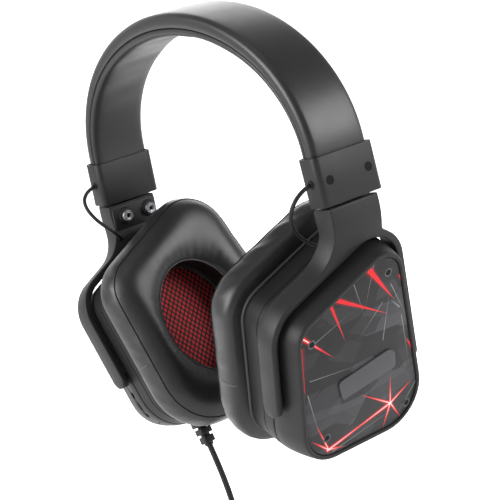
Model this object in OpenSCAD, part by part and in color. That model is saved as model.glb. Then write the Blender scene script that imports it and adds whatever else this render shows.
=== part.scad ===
// Over-ear wired headset: padded headband, two sliding yokes and two tilting ear cups.
// Millimetres. +Z is up, +Y is the way the wearer faces and +X is the wearer's right.
// The origin is the crown of the head pad's inner face, where the head carries it.
// Right-hand pieces are drawn; left-hand pieces are their mirror images.

/* [Headband] */
// Half width of the band's outer arc at its ends
band_half_w = 99.5; // [97.5:0.5:100]
// Rise of the band's outer arc above its ends
band_rise = 76; // [74:1:80]
// Front-to-back width of the band
band_w = 34; // [33:0.5:34.5]
// Thickness of the band at the crown, pad included
crown_t = 12; // [12:0.5:14]
// Thickness of the band at its ends, pad included
band_end_t = 9.2; // [9:0.1:9.4]
// Thickness of the outer cover's wall
band_wall = 2; // [1.8:0.1:2.1]
// Thickness of the spring steel strip
spring_t = 0.8; // [0.6:0.1:0.9]

/* [End sleeves and sliders] */
// Front-to-back width of a sleeve
sleeve_w = 37; // [36.5:0.5:39]
// Thickness of a sleeve
sleeve_t = 13; // [13:0.5:14]
// Height of a sleeve
sleeve_h = 23.6; // [23:0.2:24]
// Outward lean of the sleeves, in degrees
splay = 2.7; // [2:0.1:3]
// Travel of a yoke out of its sleeve
slider_travel = 28; // [24:1:28]
// Width of the slider strip
strip_w = 20; // [16:1:20]
// Thickness of the slider strip
strip_t = 1; // [0.8:0.1:1]

/* [Ear cups] */
// Inward lean of the ear cups, in degrees
lean = 20; // [18:0.5:21]
// Pivot height in the cup's own plane, below the cup's centre
pivot_drop = 22; // [20:1:24]
// Radius of the pivot pins
pivot_r = 2; // [1.8:0.1:2]
// Half width of the ear opening
ear_half_w = 25; // [23:0.5:26]
// Half height of the ear opening
ear_half_h = 31; // [29:0.5:32]
// Thickness of the ear cushion
cushion_t = 22.3; // [20:0.1:23]

/* [Cord] */
// Diameter of the cord
cord_d = 3.4; // [3:0.1:3.6]
// Diameter of the link wires between the sleeves and the yokes
link_d = 2; // [1.8:0.1:2.2]
// Radius of the coil at the middle of its turns
coil_r = 20; // [20:0.5:21]
// Radius of the coil's bundle of turns
bundle_r = 8.6; // [8.5:0.1:9]

/* [Hidden] */
$fn = 48;
eps = 0.1;

// Headband arcs: half width and rise of each layer's ellipse, from the outside in
shoulder_z = crown_t - band_rise;
band_tail = 1.6;
arc_steps = 48;
spring_d = band_wall + 0.1;
cover_depth = 7.5;
pad_back_d = 6.3;
spring_w = 26;

// Sleeve frame: its origin is the middle of the sleeve's upper face
sleeve_x = 95.1;
mouth_depth = 2;
mouth_w = band_w + 0.8;
mouth_t = 10.4;
mouth_x = -0.2;
bore_w = 31;
bore_t = 9.4;
sleeve_screw_y = 12;
sleeve_screw_s = -11.7;
sleeve_screw_head_r = 2.3;
sleeve_screw_r = 1.25;
wire_hole_s = -12;
guide_w = 30;
guide_t = 8.8;
guide_top = -2.6;
guide_bottom = -22.6;
tongue_w = 26;
tongue_top = 8;
strip_x = -0.6;
strip_top = 13;
strip_bottom = -41;
slot_gap = 0.1;

// Yoke neck, in the sleeve's frame
neck_gap = 1;
neck_front = -16;
neck_back = 14.5;
neck_in = -5.9;
neck_out = 5.7;
neck_depth = 52;
clamp_t = 1.5;
clamp_top = -25.6;
clamp_bottom = -40.5;
rivet_s = -31.5;
rivet_y = [-7.5, 8];
rivet_r = 1.9;
rivet_bore_r = 1.1;
rivet_head_r = 3.3;
rivet_boss_r = 4.4;
rivet_boss_t = 1.6;

// Cup frame: X is the way out of the cup, Y is forward and Z is up its plane
cup_x = 81;
cup_z = shoulder_z - 94;
rim_x = 9;
split_x = -9.5;
split_gap = 0.4;
mouth_face_x = -28;
// Corners of the cup's rim: forward place, height and corner radius
rim_corners = [[-46, 22, 13], [-38, -56, 21], [42, -55.5, 21], [17, 53, 14]];
corner_steps = 8;
housing_flare = 3.5;
housing_wall = 2.2;
rim_w = 2.2;
plate_x = 6.2;
plate_t = 2.1;
floor_t = 2.4;
cover_screw_places = [[11.4, 35.7], [-36.5, 14], [28.4, -44.4], [-25.3, -42.7]];
cover_screw_r = 1.1;
cover_screw_head_r = 2.4;
cover_screw_head_t = 0.9;
boss_r = 3.1;
boss_end_x = [-4, -4, -4, 0.4];
badge_t = 0.9;
badge_points = [[-19.4, -13.6], [-16.4, -24.7], [18.8, -18.9], [17.8, -9.8], [13.9, -7.2]];

// Yoke fork, in the cup's frame
fork_gap = 4.8;
fork_t = 3.8;
fork_in_x = -10.7;
fork_out_x = 0.3;
fork_w = fork_out_x - fork_in_x;
pivot_x = fork_out_x - fork_w / 2;
pivot_z = -pivot_drop;
pivot_boss_r = 4.2;
pivot_clearance = 0.08;
pivot_front = -41.5;
pivot_back = 34.3;

// Ear side, in the cup's frame
ear_y = -8;
ear_z = -9;
baffle_x = -26;
baffle_t = 2;
speaker_r = 26;
magnet_r = 12.9;
cloth_t = 0.7;
lip_t = 2;
cushion_x = mouth_face_x - lip_t - 0.2;

// Fittings in the left cup
wheel_r = 9;
wheel_t = 2.2;
wheel_x = -3.1;
wheel_place = [-34.2, -37.9];
wheel_angle = 191;
shaft_r = 1.5;
board_x = -9;
board_posts = [[-32, -30], [-22, -42]];
fitting_x = -13.5;
socket_y = -0.5;
socket_r = 1.8;
socket_body_r = 4.2;
socket_mouth_z = -62.5;
socket_depth = 14;
relief_y = -18;
relief_end_z = -75;

// Route of the hanging cord, from the strain relief to the coil
cord_route = [
    [-42.7, -18, -223.9], [-41, -18, -228.5], [-39.5, -18, -233], [-38, -18, -237.5],
    [-36.7, -18, -242], [-35.6, -18, -246.5], [-34.7, -18, -251], [-34, -18, -255.5],
    [-33.6, -18, -260], [-33.2, -18, -263.5], [-32, -18, -267], [-30, -18, -269.5],
    [-27, -18, -271], [-24, -18, -271.5]
];
// Route of the free end, from the coil to the plug
tail_route = [
    [0, -18, -292], [2.6, -18, -296.5], [4.6, -18, -301], [6, -18, -305.5],
    [6.8, -18, -310], [7, -18, -314]
];
coil_centre = [-23, -18, -295];
plug_place = [7, -18, -314];
plug_body_l = 22;
plug_pin_r = 1.75;
plug_pin_l = 14;
// Route of a link wire, from the sleeve's side to the yoke's crown
link_route = [
    [95.6, -17, -76], [95.6, -20, -76.2], [95.4, -24, -77.5], [94.5, -27.5, -80],
    [92.8, -29.3, -83.2], [90.6, -29.6, -86.6], [88.4, -28.8, -90.2], [86.3, -27, -94],
    [84.6, -24.3, -97.8], [83.8, -21.2, -101.3], [84.6, -18.4, -104.2], [86.3, -16.2, -106.4],
    [88.2, -14.6, -107.8]
];
link_hole_r = link_d / 2 + 0.3;

// ---- Shapes shared by several pieces ----

// Points of one band layer's ellipse, with straight tails below its ends
function band_arc(half_w, rise, tail) = concat(
    [[half_w, shoulder_z - tail]],
    [for (i = [0:arc_steps])
        [half_w * cos(180 * i / arc_steps), shoulder_z + rise * sin(180 * i / arc_steps)]],
    [[-half_w, shoulder_z - tail]]
);

function reversed(points) = [for (i = [len(points) - 1:-1:0]) points[i]];

// Layer of the band between two [half width, rise] ellipses
module band_layer(outer, inner, width, tail) {
    rotate([90, 0, 0])
        linear_extrude(width, center = true)
            polygon(concat(
                band_arc(outer[0], outer[1], tail),
                reversed(band_arc(inner[0], inner[1], tail))
            ));
}

function inset_arc(d) = [band_half_w - d, band_rise - d];

// Places its children in the frame of the right sleeve
module in_sleeve() {
    translate([sleeve_x, 0, shoulder_z]) rotate([0, -splay, 0]) children();
}

// Box given by its two corners
module block(low, high) {
    translate(low) cube(high - low);
}

// Cylinder along X from x0 to x1
module rod_x(x0, x1, r) {
    translate([x0, 0, 0]) rotate([0, 90, 0]) cylinder(h = x1 - x0, r = r);
}

// Cylinder along Y from y0 to y1
module rod_y(y0, y1, r) {
    translate([0, y0, 0]) rotate([-90, 0, 0]) cylinder(h = y1 - y0, r = r);
}

// Places its children in the frame of the right cup
module in_cup() {
    translate([cup_x, 0, cup_z]) rotate([0, lean, 0]) children();
}

// Angle of the outward normal of the rim's edge that starts at corner i
function edge_angle(i) =
    let (a = rim_corners[i], b = rim_corners[(i + 1) % 4])
    atan2(b[1] - a[1], b[0] - a[0]) - 90;

// Centre of the round of corner i
function corner_centre(i) =
    let (c = rim_corners[i], p = edge_angle((i + 3) % 4), q = edge_angle(i))
    let (bend = 1 + cos(p - q))
    [c[0] - c[2] * (cos(p) + cos(q)) / bend, c[1] - c[2] * (sin(p) + sin(q)) / bend];

// Turn of corner i, anticlockwise
function corner_turn(i) = (edge_angle(i) - edge_angle((i + 3) % 4) + 720) % 360;

// Outline of the cup, grown outwards by d
function outline(d) = [
    for (i = [0:3], k = [0:corner_steps])
        let (c = corner_centre(i), r = rim_corners[i][2] + d)
        let (a = edge_angle((i + 3) % 4) + corner_turn(i) * k / corner_steps)
        [c[0] + r * cos(a), c[1] + r * sin(a)]
];

// Prism of a cup outline between x0 and x1
module slab(x0, x1, d) {
    translate([x0, 0, 0]) rotate([90, 0, 90]) linear_extrude(x1 - x0) polygon(outline(d));
}

// Solid through cup outlines, given as [x, growth] from low x to high x
module loft(rings) {
    n = 4 * (corner_steps + 1);
    m = len(rings);
    points = [for (ring = rings) for (p = outline(ring[1])) [ring[0], p[0], p[1]]];
    sides = [for (j = [0:m - 2], i = [0:n - 1])
        [j * n + i, (j + 1) * n + i, (j + 1) * n + (i + 1) % n, j * n + (i + 1) % n]];
    low_cap = [[for (i = [0:n - 1]) i]];
    high_cap = [[for (i = [n - 1:-1:0]) (m - 1) * n + i]];
    polyhedron(points, concat(sides, low_cap, high_cap), convexity = 6);
}

// Elliptical prism round the ear's centre between x0 and x1
module ear_prism(x0, x1, half_w, half_h) {
    steps = 40;
    translate([x0, ear_y, ear_z])
        rotate([90, 0, 90])
            linear_extrude(x1 - x0)
                polygon([for (i = [0:steps - 1])
                    [half_w * cos(360 * i / steps), half_h * sin(360 * i / steps)]]);
}

function unit(v) = v / norm(v);

// Round tube of eight sides swept along a route; ref is a direction that the route never takes
module tube(route, d, ref) {
    sides = 8;
    n = len(route);
    points = [for (i = [0:n - 1])
        let (t = unit(route[min(i + 1, n - 1)] - route[max(i - 1, 0)]))
        let (a = unit(cross(t, ref)), b = cross(a, t))
        for (k = [0:sides - 1])
            route[i] + d / 2 * (a * cos(360 * k / sides) + b * sin(360 * k / sides))];
    walls = [for (i = [0:n - 2], k = [0:sides - 1])
        [i * sides + k, (i + 1) * sides + k, (i + 1) * sides + (k + 1) % sides,
            i * sides + (k + 1) % sides]];
    first_cap = [[for (k = [0:sides - 1]) k]];
    last_cap = [[for (k = [sides - 1:-1:0]) (n - 1) * sides + k]];
    polyhedron(points, concat(walls, first_cap, last_cap), convexity = 6);
}

// ---- Headband ----

// Outer cover: a channel that wraps the band's outside and both edges
module band_cover() {
    color("#2f2f31")
        difference() {
            band_layer(inset_arc(0), inset_arc(cover_depth), band_w, band_tail);
            band_layer(inset_arc(band_wall), inset_arc(cover_depth + 1),
                band_w - 2 * band_wall, band_tail + 1);
        }
}

// Spring steel strip that gives the band its grip
module band_spring() {
    color("#8a8d90")
        band_layer(inset_arc(spring_d), inset_arc(spring_d + spring_t), spring_w, 0);
}

// Foam pad on the inside, thicker at the crown than at the ends
module band_pad() {
    color("#242426")
        union() {
            band_layer(inset_arc(pad_back_d), inset_arc(cover_depth + eps),
                band_w - 2 * band_wall - 0.4, band_tail);
            band_layer(inset_arc(cover_depth), [band_half_w - band_end_t, band_rise - crown_t],
                band_w - 0.8, band_tail);
        }
}

// ---- Sleeve, guide and screws ----

module sleeve_screw_axes() {
    for (side = [-1, 1]) translate([0, side * sleeve_screw_y, sleeve_screw_s]) children();
}

module sleeve() {
    half_w = sleeve_w / 2;
    half_t = sleeve_t / 2;
    color("#38383a")
        in_sleeve()
            difference() {
                block([-half_t, -half_w, -sleeve_h], [half_t, half_w, 0]);
                block([mouth_x - mouth_t / 2, -mouth_w / 2, -mouth_depth],
                    [mouth_x + mouth_t / 2, mouth_w / 2, 1]);
                block([-bore_t / 2, -bore_w / 2, -sleeve_h - 1], [bore_t / 2, bore_w / 2, 0]);
                sleeve_screw_axes() rod_x(0, half_t + 1, sleeve_screw_r);
                sleeve_screw_axes() rod_x(half_t - 1, half_t + 1, sleeve_screw_head_r);
                translate([0, 0, wire_hole_s]) rod_y(-half_w - 1, 0, link_hole_r);
            }
}

// Guide inside the sleeve that the slider strip runs through
module slider_guide() {
    color("#1f1f21")
        in_sleeve()
            difference() {
                union() {
                    block([-guide_t / 2, -guide_w / 2, guide_bottom],
                        [guide_t / 2, guide_w / 2, guide_top]);
                    block([-1.75, -tongue_w / 2, guide_top - 1], [1, tongue_w / 2, tongue_top]);
                }
                block([strip_x - strip_t / 2 - slot_gap, -strip_w / 2 - 0.2, guide_bottom - 1],
                    [strip_x + strip_t / 2 + slot_gap, strip_w / 2 + 0.2, tongue_top + 1]);
                sleeve_screw_axes() rod_x(-3, guide_t, sleeve_screw_r);
            }
}

module sleeve_screws() {
    half_t = sleeve_t / 2;
    color("#0d0d0e")
        in_sleeve()
            sleeve_screw_axes()
                difference() {
                    union() {
                        rod_x(half_t - 1, half_t - 0.1, sleeve_screw_head_r - 0.05);
                        rod_x(-2.8, half_t - 1, sleeve_screw_r - 0.02);
                    }
                    translate([half_t - 0.7, 0, 0]) rotate([0, 90, 0])
                        cylinder(h = 2, r = 1, $fn = 6);
                }
}

// Signal wire that loops from the sleeve to the yoke
module link_wire() {
    color("#1a1a1b") tube(link_route, link_d, [1, 0, 0]);
}

// ---- Yoke ----

module rivet_axes() {
    for (y = rivet_y) translate([0, y, rivet_s]) children();
}

module slider_strip() {
    color("#9a9da0")
        in_sleeve()
            difference() {
                block([strip_x - strip_t / 2, -strip_w / 2, strip_bottom],
                    [strip_x + strip_t / 2, strip_w / 2, strip_top]);
                rivet_axes() rod_x(-3, 3, rivet_r);
            }
}

// Half of the fork's band, ending round about the pivots
module fork_band() {
    intersection() {
        difference() {
            slab(fork_in_x, fork_out_x, fork_gap + fork_t);
            slab(fork_in_x - 1, fork_out_x + 1, fork_gap);
        }
        union() {
            block([fork_in_x - 2, -80, pivot_z], [fork_out_x + 2, 80, 80]);
            translate([pivot_x, 0, pivot_z]) rod_y(-80, 80, fork_w / 2);
        }
    }
}

module yoke() {
    neck_top = -sleeve_h - neck_gap;
    color("#3a3a3c")
        difference() {
            union() {
                in_cup() fork_band();
                in_sleeve()
                    intersection() {
                        block([neck_in, neck_front, -neck_depth], [neck_out, neck_back, neck_top]);
                        rotate([0, splay, 0]) translate([-sleeve_x, 0, -shoulder_z])
                            in_cup() block([-20, -80, 36], [30, 80, 120]);
                    }
            }
            in_cup() slab(-30, 20, fork_gap);
            in_sleeve()
                block([neck_in - 8, neck_front + 0.5, clamp_bottom - 0.1],
                    [neck_in, neck_back - 0.9, neck_top + 1]);
            in_sleeve()
                block([strip_x - strip_t / 2, -strip_w / 2, strip_bottom],
                    [strip_x + strip_t / 2, strip_w / 2, neck_top + 1]);
            in_sleeve() rivet_axes() rod_x(neck_in - 1, 2.5, rivet_r);
            in_cup() translate([pivot_x, 0, pivot_z]) rod_y(-80, 80, pivot_r);
            tube(concat(link_route, [[90.5, -13.5, -108.4]]), 2 * link_hole_r, [1, 0, 0]);
        }
}

// Plate that clamps the strip into the yoke's neck
module clamp_plate() {
    color("#18181a")
        in_sleeve()
            difference() {
                union() {
                    block([neck_in - clamp_t, neck_front + 0.6, clamp_bottom],
                        [neck_in, neck_back - 1, clamp_top]);
                    rivet_axes() rod_x(neck_in - clamp_t - rivet_boss_t, neck_in - clamp_t, rivet_boss_r);
                }
                rivet_axes() rod_x(neck_in - 10, neck_in + 1, rivet_r);
            }
}

// Hollow rivets
module clamp_rivets() {
    seat = neck_in - clamp_t - rivet_boss_t;
    color("#b9bbbd")
        in_sleeve()
            rivet_axes()
                difference() {
                    union() {
                        rod_x(seat - 0.9, seat, rivet_head_r);
                        rod_x(seat, 2.5, rivet_r);
                    }
                    rod_x(seat - 2, 3, rivet_bore_r);
                }
}

// Front and back pivot pins, fixed in the fork's ends
module pivot_pins() {
    color("#77797c")
        in_cup()
            translate([pivot_x, 0, pivot_z]) {
                rod_y(pivot_front - 8, pivot_front - 0.5, pivot_r);
                rod_y(pivot_back + 0.5, pivot_back + 8, pivot_r);
            }
}

// ---- Ear cup ----

module cover_screw_axes(x) {
    for (p = cover_screw_places) translate([x, p[0], p[1]]) children();
}

module outer_housing(left) {
    color("#333335")
        in_cup()
            difference() {
                union() {
                    difference() {
                        loft([[split_x, housing_flare], [0, 2.4], [rim_x, 0]]);
                        slab(plate_x, rim_x + 1, -rim_w);
                        loft([[split_x - 1, housing_flare - housing_wall],
                            [plate_x - floor_t, 1 - housing_wall]]);
                    }
                    for (i = [0:3])
                        translate([0, cover_screw_places[i][0], cover_screw_places[i][1]])
                            rod_x(boss_end_x[i], plate_x - floor_t + eps, boss_r);
                    translate([pivot_x, 0, pivot_z]) {
                        rod_y(pivot_front - 2, pivot_front + 2.5, pivot_boss_r);
                        rod_y(pivot_back - 2.5, pivot_back + 2, pivot_boss_r);
                    }
                }
                cover_screw_axes(0) rod_x(-3, plate_x + 1, cover_screw_r);
                translate([pivot_x, 0, pivot_z]) {
                    rod_y(pivot_front - 8, pivot_front + 1, pivot_r + pivot_clearance);
                    rod_y(pivot_back - 1, pivot_back + 8, pivot_r + pivot_clearance);
                }
                if (left)
                    translate([wheel_x + wheel_t / 2, wheel_place[0], wheel_place[1]])
                        rotate([wheel_angle, 0, 0])
                            block([-1.6, 3, -8.4], [1.6, 12, 8.4]);
            }
}

module cover_plate() {
    color("#3d3d40")
        in_cup()
            difference() {
                slab(plate_x, plate_x + plate_t, -rim_w - 0.15);
                cover_screw_axes(plate_x) rod_x(-1, 4, cover_screw_r + 0.2);
                cover_screw_axes(plate_x + plate_t - cover_screw_head_t)
                    rod_x(0, 2, cover_screw_head_r + 0.1);
            }
}

// Plain raised badge
module cover_badge() {
    color("#55565a")
        in_cup()
            translate([plate_x + plate_t, 0, 0])
                rotate([90, 0, 90])
                    linear_extrude(badge_t) polygon(badge_points);
}

module cover_screws() {
    head_x = plate_x + plate_t - cover_screw_head_t;
    color("#0d0d0e")
        in_cup()
            for (i = [0:3])
                translate([0, cover_screw_places[i][0], cover_screw_places[i][1]])
                    difference() {
                        union() {
                            rod_x(head_x, head_x + cover_screw_head_t - 0.1, cover_screw_head_r);
                            rod_x(max(boss_end_x[i] + 1.4, 0.6), head_x, cover_screw_r - 0.02);
                        }
                        translate([head_x + 0.4, 0, 0]) rotate([0, 90, 0])
                            cylinder(h = 2, r = 0.9, $fn = 6);
                    }
}

module inner_housing(left) {
    back = split_x - split_gap;
    color("#2c2c2e")
        in_cup()
            difference() {
                union() {
                    difference() {
                        loft([[mouth_face_x, 2.2], [-20, 3], [back, housing_flare]]);
                        loft([[mouth_face_x - 1, 0.2], [back + 1, 1.3]]);
                    }
                    slab(baffle_x, baffle_x + baffle_t, 0.8);
                    difference() {
                        slab(back - 1, back + 2.6, 0.6);
                        slab(back - 2, back + 3, -0.4);
                        translate([pivot_x, 0, pivot_z]) rod_y(-80, 80, pivot_boss_r + 0.4);
                    }
                    if (left)
                        for (p = board_posts) translate([0, p[0], p[1]])
                            rod_x(baffle_x + baffle_t - eps, board_x - 1.2, 1.5);
                }
                translate([0, ear_y, ear_z]) rod_x(baffle_x - 1, baffle_x + baffle_t + 1, speaker_r + 0.2);
                if (left) {
                    translate([fitting_x, socket_y, -70]) cylinder(h = 20, r = socket_body_r + 0.1);
                    translate([fitting_x, relief_y, -70]) cylinder(h = 20, r = 2.8);
                    translate([fitting_x, relief_y, -56.6]) cylinder(h = 6, r = 5);
                }
            }
}

// ---- Speaker ----

// Turned profile about the speaker's axis: points are [radius, x]
module turned(profile) {
    translate([0, ear_y, ear_z]) rotate([0, 90, 0]) rotate_extrude() polygon(profile);
}

module speaker_frame() {
    back = -18;
    color("#202022")
        in_cup()
            turned([[24, baffle_x - 1.2], [29, baffle_x - 1.2], [29, baffle_x], [speaker_r, baffle_x],
                [speaker_r, back], [magnet_r, back], [magnet_r, back - 1.5], [24, back - 1.5]]);
}

module speaker_magnet() {
    color("#a5a7aa") in_cup() translate([0, ear_y, ear_z]) rod_x(-19.5, -11.5, magnet_r - 0.05);
}

module speaker_diaphragm() {
    color("#c9b98a")
        in_cup()
            turned([[0, -23.2], [11, -25.4], [23.9, -25.4], [23.9, -25.9], [11, -25.9], [0, -23.7]]);
}

// Sheet of mesh cloth in front of the speaker
module speaker_cloth() {
    color("#8f1418") in_cup() slab(mouth_face_x, mouth_face_x + cloth_t, -0.2);
}

// ---- Ear cushion ----

module cushion_ring() {
    color("#4a4a4c")
        in_cup()
            difference() {
                slab(mouth_face_x - lip_t, mouth_face_x, 3);
                ear_prism(mouth_face_x - lip_t - 1, mouth_face_x + 1, ear_half_w + 2, ear_half_h + 2);
            }
}

module ear_cushion() {
    face = cushion_x - cushion_t;
    color("#232325")
        in_cup()
            difference() {
                loft([[face, 1], [face + 1.5, 5], [face + 6, 9.6], [face + 12, 11.2],
                    [cushion_x - 4, 9.6], [cushion_x, 5]]);
                ear_prism(face - 1, cushion_x + 1, ear_half_w, ear_half_h);
            }
}

// ---- Fittings in the left cup ----

// Thumb wheel with its shaft
module volume_wheel() {
    color("#2a2a2c")
        in_cup()
            translate([0, wheel_place[0], wheel_place[1]]) {
                rod_x(wheel_x, wheel_x + wheel_t, wheel_r);
                rod_x(wheel_x - 4.4, wheel_x + eps, shaft_r);
            }
}

module volume_potentiometer() {
    color("#6f7275")
        in_cup()
            translate([0, wheel_place[0], wheel_place[1]])
                difference() {
                    block([board_x, -3.8, -3.8], [wheel_x - 0.6, 3.8, 3.8]);
                    rod_x(wheel_x - 5, wheel_x, shaft_r + 0.06);
                }
}

module circuit_board() {
    color("#1d5a35") in_cup() block([board_x - 1.2, -36, -45], [board_x, -18, -26]);
}

module mic_socket() {
    color("#19191b")
        in_cup()
            translate([fitting_x, socket_y, 0])
                difference() {
                    translate([0, 0, socket_mouth_z + 0.3])
                        cylinder(h = socket_depth + 1.7, r = socket_body_r - 1.2);
                    translate([0, 0, socket_mouth_z]) cylinder(h = socket_depth, r = socket_r);
                }
}

// Rubber surround of the socket
module mic_grommet() {
    color("#111112")
        in_cup()
            translate([fitting_x, socket_y, 0])
                difference() {
                    union() {
                        translate([0, 0, socket_mouth_z]) cylinder(h = 2.4, r = socket_body_r + 0.8);
                        translate([0, 0, socket_mouth_z]) cylinder(h = 7, r = socket_body_r);
                    }
                    translate([0, 0, socket_mouth_z - 1]) cylinder(h = 9, r = socket_body_r - 1.15);
                    block([split_x - split_gap - fitting_x, -8, socket_mouth_z + 2.4], [8, 8, 0]);
                }
}

// Bending protector: three stepped blocks on a thinner core
module strain_relief() {
    blocks = [[-63.4, -59.6, 4.2], [-68, -64.8, 3.8], [-73.2, -69.4, 3.4]];
    color("#161617")
        in_cup()
            translate([fitting_x, relief_y, 0]) {
                translate([0, 0, relief_end_z]) cylinder(h = -relief_end_z - 54, r = 2.5);
                for (b = blocks) translate([0, 0, b[0]]) cylinder(h = b[1] - b[0], r = b[2]);
                translate([0, 0, -56.5]) cylinder(h = 2, r = 4.6);
            }
}

// ---- Cord, coil and plug, in world places ----

module cord() {
    color("#1c1c1d") {
        tube(cord_route, cord_d, [0, 1, 0]);
        tube(tail_route, cord_d, [0, 1, 0]);
    }
}

// Outer shape of the tied coil that hangs on the cord
module cord_coil() {
    color("#1c1c1d")
        translate(coil_centre) rotate([90, 0, 0]) rotate_extrude() translate([coil_r, 0]) circle(bundle_r);
}

// Strap round the coil's top
module cord_tie() {
    color("#2b2b2d")
        translate(coil_centre + [0, 0, coil_r])
            difference() {
                rod_x(-5, 5, bundle_r + 1.4);
                rod_x(-6, 6, bundle_r + 0.2);
            }
}

module plug_body() {
    color("#161617")
        translate(plug_place) {
            translate([0, 0, -plug_body_l]) cylinder(h = plug_body_l - 8, r = 3.6);
            translate([0, 0, -8]) cylinder(h = 8, r1 = 3.2, r2 = 2.3);
        }
}

// Four-contact pin of 3.5 mm
module plug_pin() {
    tip = 1.6;
    color("#c9a24a")
        translate(plug_place + [0, 0, -plug_body_l - plug_pin_l]) {
            translate([0, 0, tip]) cylinder(h = plug_pin_l - tip, r = plug_pin_r);
            cylinder(h = tip, r1 = 0.6, r2 = plug_pin_r);
        }
}

module left_hand() {
    mirror([1, 0, 0]) children();
}

band_cover();
band_spring();
band_pad();
sleeve();  // sleeve_right
left_hand() sleeve();  // sleeve_left
slider_guide();  // slider_guide_right
left_hand() slider_guide();  // slider_guide_left
sleeve_screws();  // sleeve_screws_right
left_hand() sleeve_screws();  // sleeve_screws_left
link_wire();  // link_wire_right
left_hand() link_wire();  // link_wire_left
slider_strip();  // slider_strip_right
left_hand() slider_strip();  // slider_strip_left
yoke();  // yoke_right
left_hand() yoke();  // yoke_left
clamp_plate();  // clamp_plate_right
left_hand() clamp_plate();  // clamp_plate_left
clamp_rivets();  // clamp_rivets_right
left_hand() clamp_rivets();  // clamp_rivets_left
pivot_pins();  // pivot_pins_right
left_hand() pivot_pins();  // pivot_pins_left
outer_housing(false);  // outer_housing_right
left_hand() outer_housing(true);  // outer_housing_left
cover_plate();  // cover_plate_right
left_hand() cover_plate();  // cover_plate_left
cover_badge();  // cover_badge_right
left_hand() cover_badge();  // cover_badge_left
cover_screws();  // cover_screws_right
left_hand() cover_screws();  // cover_screws_left
inner_housing(false);  // inner_housing_right
left_hand() inner_housing(true);  // inner_housing_left
speaker_frame();  // speaker_frame_right
left_hand() speaker_frame();  // speaker_frame_left
speaker_magnet();  // speaker_magnet_right
left_hand() speaker_magnet();  // speaker_magnet_left
speaker_diaphragm();  // speaker_diaphragm_right
left_hand() speaker_diaphragm();  // speaker_diaphragm_left
speaker_cloth();  // speaker_cloth_right
left_hand() speaker_cloth();  // speaker_cloth_left
cushion_ring();  // cushion_ring_right
left_hand() cushion_ring();  // cushion_ring_left
ear_cushion();  // ear_cushion_right
left_hand() ear_cushion();  // ear_cushion_left
left_hand() volume_wheel();
left_hand() volume_potentiometer();
left_hand() circuit_board();
left_hand() mic_socket();
left_hand() mic_grommet();
left_hand() strain_relief();
cord();
cord_coil();
cord_tie();
plug_body();
plug_pin();
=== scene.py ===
# A wired over-ear headset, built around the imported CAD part. Metres, +Z up, +Y the way the wearer faces.
from math import atan2, cos, pi, radians, sin, sqrt, tau
import bpy
import bmesh
from mathutils import Matrix, Vector, noise


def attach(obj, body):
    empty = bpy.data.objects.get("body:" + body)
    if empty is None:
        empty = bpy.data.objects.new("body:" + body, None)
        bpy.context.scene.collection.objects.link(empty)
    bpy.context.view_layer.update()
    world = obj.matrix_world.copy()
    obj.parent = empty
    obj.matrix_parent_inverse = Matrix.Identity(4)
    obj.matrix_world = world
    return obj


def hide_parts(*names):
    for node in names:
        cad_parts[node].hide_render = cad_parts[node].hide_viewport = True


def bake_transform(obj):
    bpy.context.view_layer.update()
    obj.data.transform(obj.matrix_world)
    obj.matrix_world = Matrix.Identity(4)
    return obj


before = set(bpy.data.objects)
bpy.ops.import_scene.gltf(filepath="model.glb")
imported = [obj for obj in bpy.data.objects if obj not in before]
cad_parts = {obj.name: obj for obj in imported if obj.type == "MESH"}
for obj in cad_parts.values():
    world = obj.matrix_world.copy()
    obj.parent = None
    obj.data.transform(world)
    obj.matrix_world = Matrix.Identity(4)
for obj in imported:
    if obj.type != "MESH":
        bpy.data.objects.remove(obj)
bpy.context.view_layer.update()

mm = 0.001
sides = ("right", "left")

cup = {"across": 81, "height": -158, "lean": 20}  # millimetres and degrees, as in the CAD part
sleeve = {"across": 95.1, "height": -64, "lean": -2.7, "thick": 13, "wide": 37, "high": 23.6, "corner": 3.2,
          "mouth": 2, "mouthWall": 1.15, "foot": 1.0, "footWall": 1.8, "edge": 0.32, "screwY": 12,
          "screwZ": -11.7, "screwRadius": 2.3, "socket": 1.05, "proud": 0.24}

# The right side's own frame of a leaning piece, in millimetres
def leaning(piece):
    place = Matrix.Translation((piece["across"] * mm, 0, piece["height"] * mm))
    return place @ Matrix.Rotation(radians(piece["lean"]), 4, "Y") @ Matrix.Scale(mm, 4)

cupFrame = leaning(cup)
sleeveFrame = leaning(sleeve)
worldFrame = Matrix.Scale(mm, 4)
mirrored = Matrix.Diagonal((-1, 1, 1, 1))

view = {"azimuth": 54.84, "elevation": 11.46, "roll": -12.9, "lens": 111.96, "distance": 0.7984, "right": 0.01757,
        "down": 0.0495, "aim": (0, 0, -0.064)}

# The camera's right, up and backward directions
def lookFrom(azimuth, elevation, roll):
    back = Vector((sin(azimuth) * cos(elevation), -cos(azimuth) * cos(elevation), sin(elevation)))
    right = Vector((cos(azimuth), sin(azimuth), 0))
    up = back.cross(right)
    turnedRight = right * cos(roll) + up * sin(roll)
    turnedUp = up * cos(roll) - right * sin(roll)
    return turnedRight, turnedUp, back

def makeCamera():
    right, up, back = lookFrom(radians(view["azimuth"]), radians(view["elevation"]), radians(view["roll"]))
    data = bpy.data.cameras.new("camera")
    data.lens = view["lens"]
    data.sensor_width = 36
    data.clip_end = 50
    camera = bpy.data.objects.new("camera", data)
    place = back * view["distance"] + right * view["right"] - up * view["down"] + Vector(view["aim"])
    turn = Matrix((right, up, back)).transposed().to_4x4()
    camera.matrix_world = Matrix.Translation(place) @ turn
    bpy.context.scene.collection.objects.link(camera)
    bpy.context.scene.camera = camera

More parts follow.
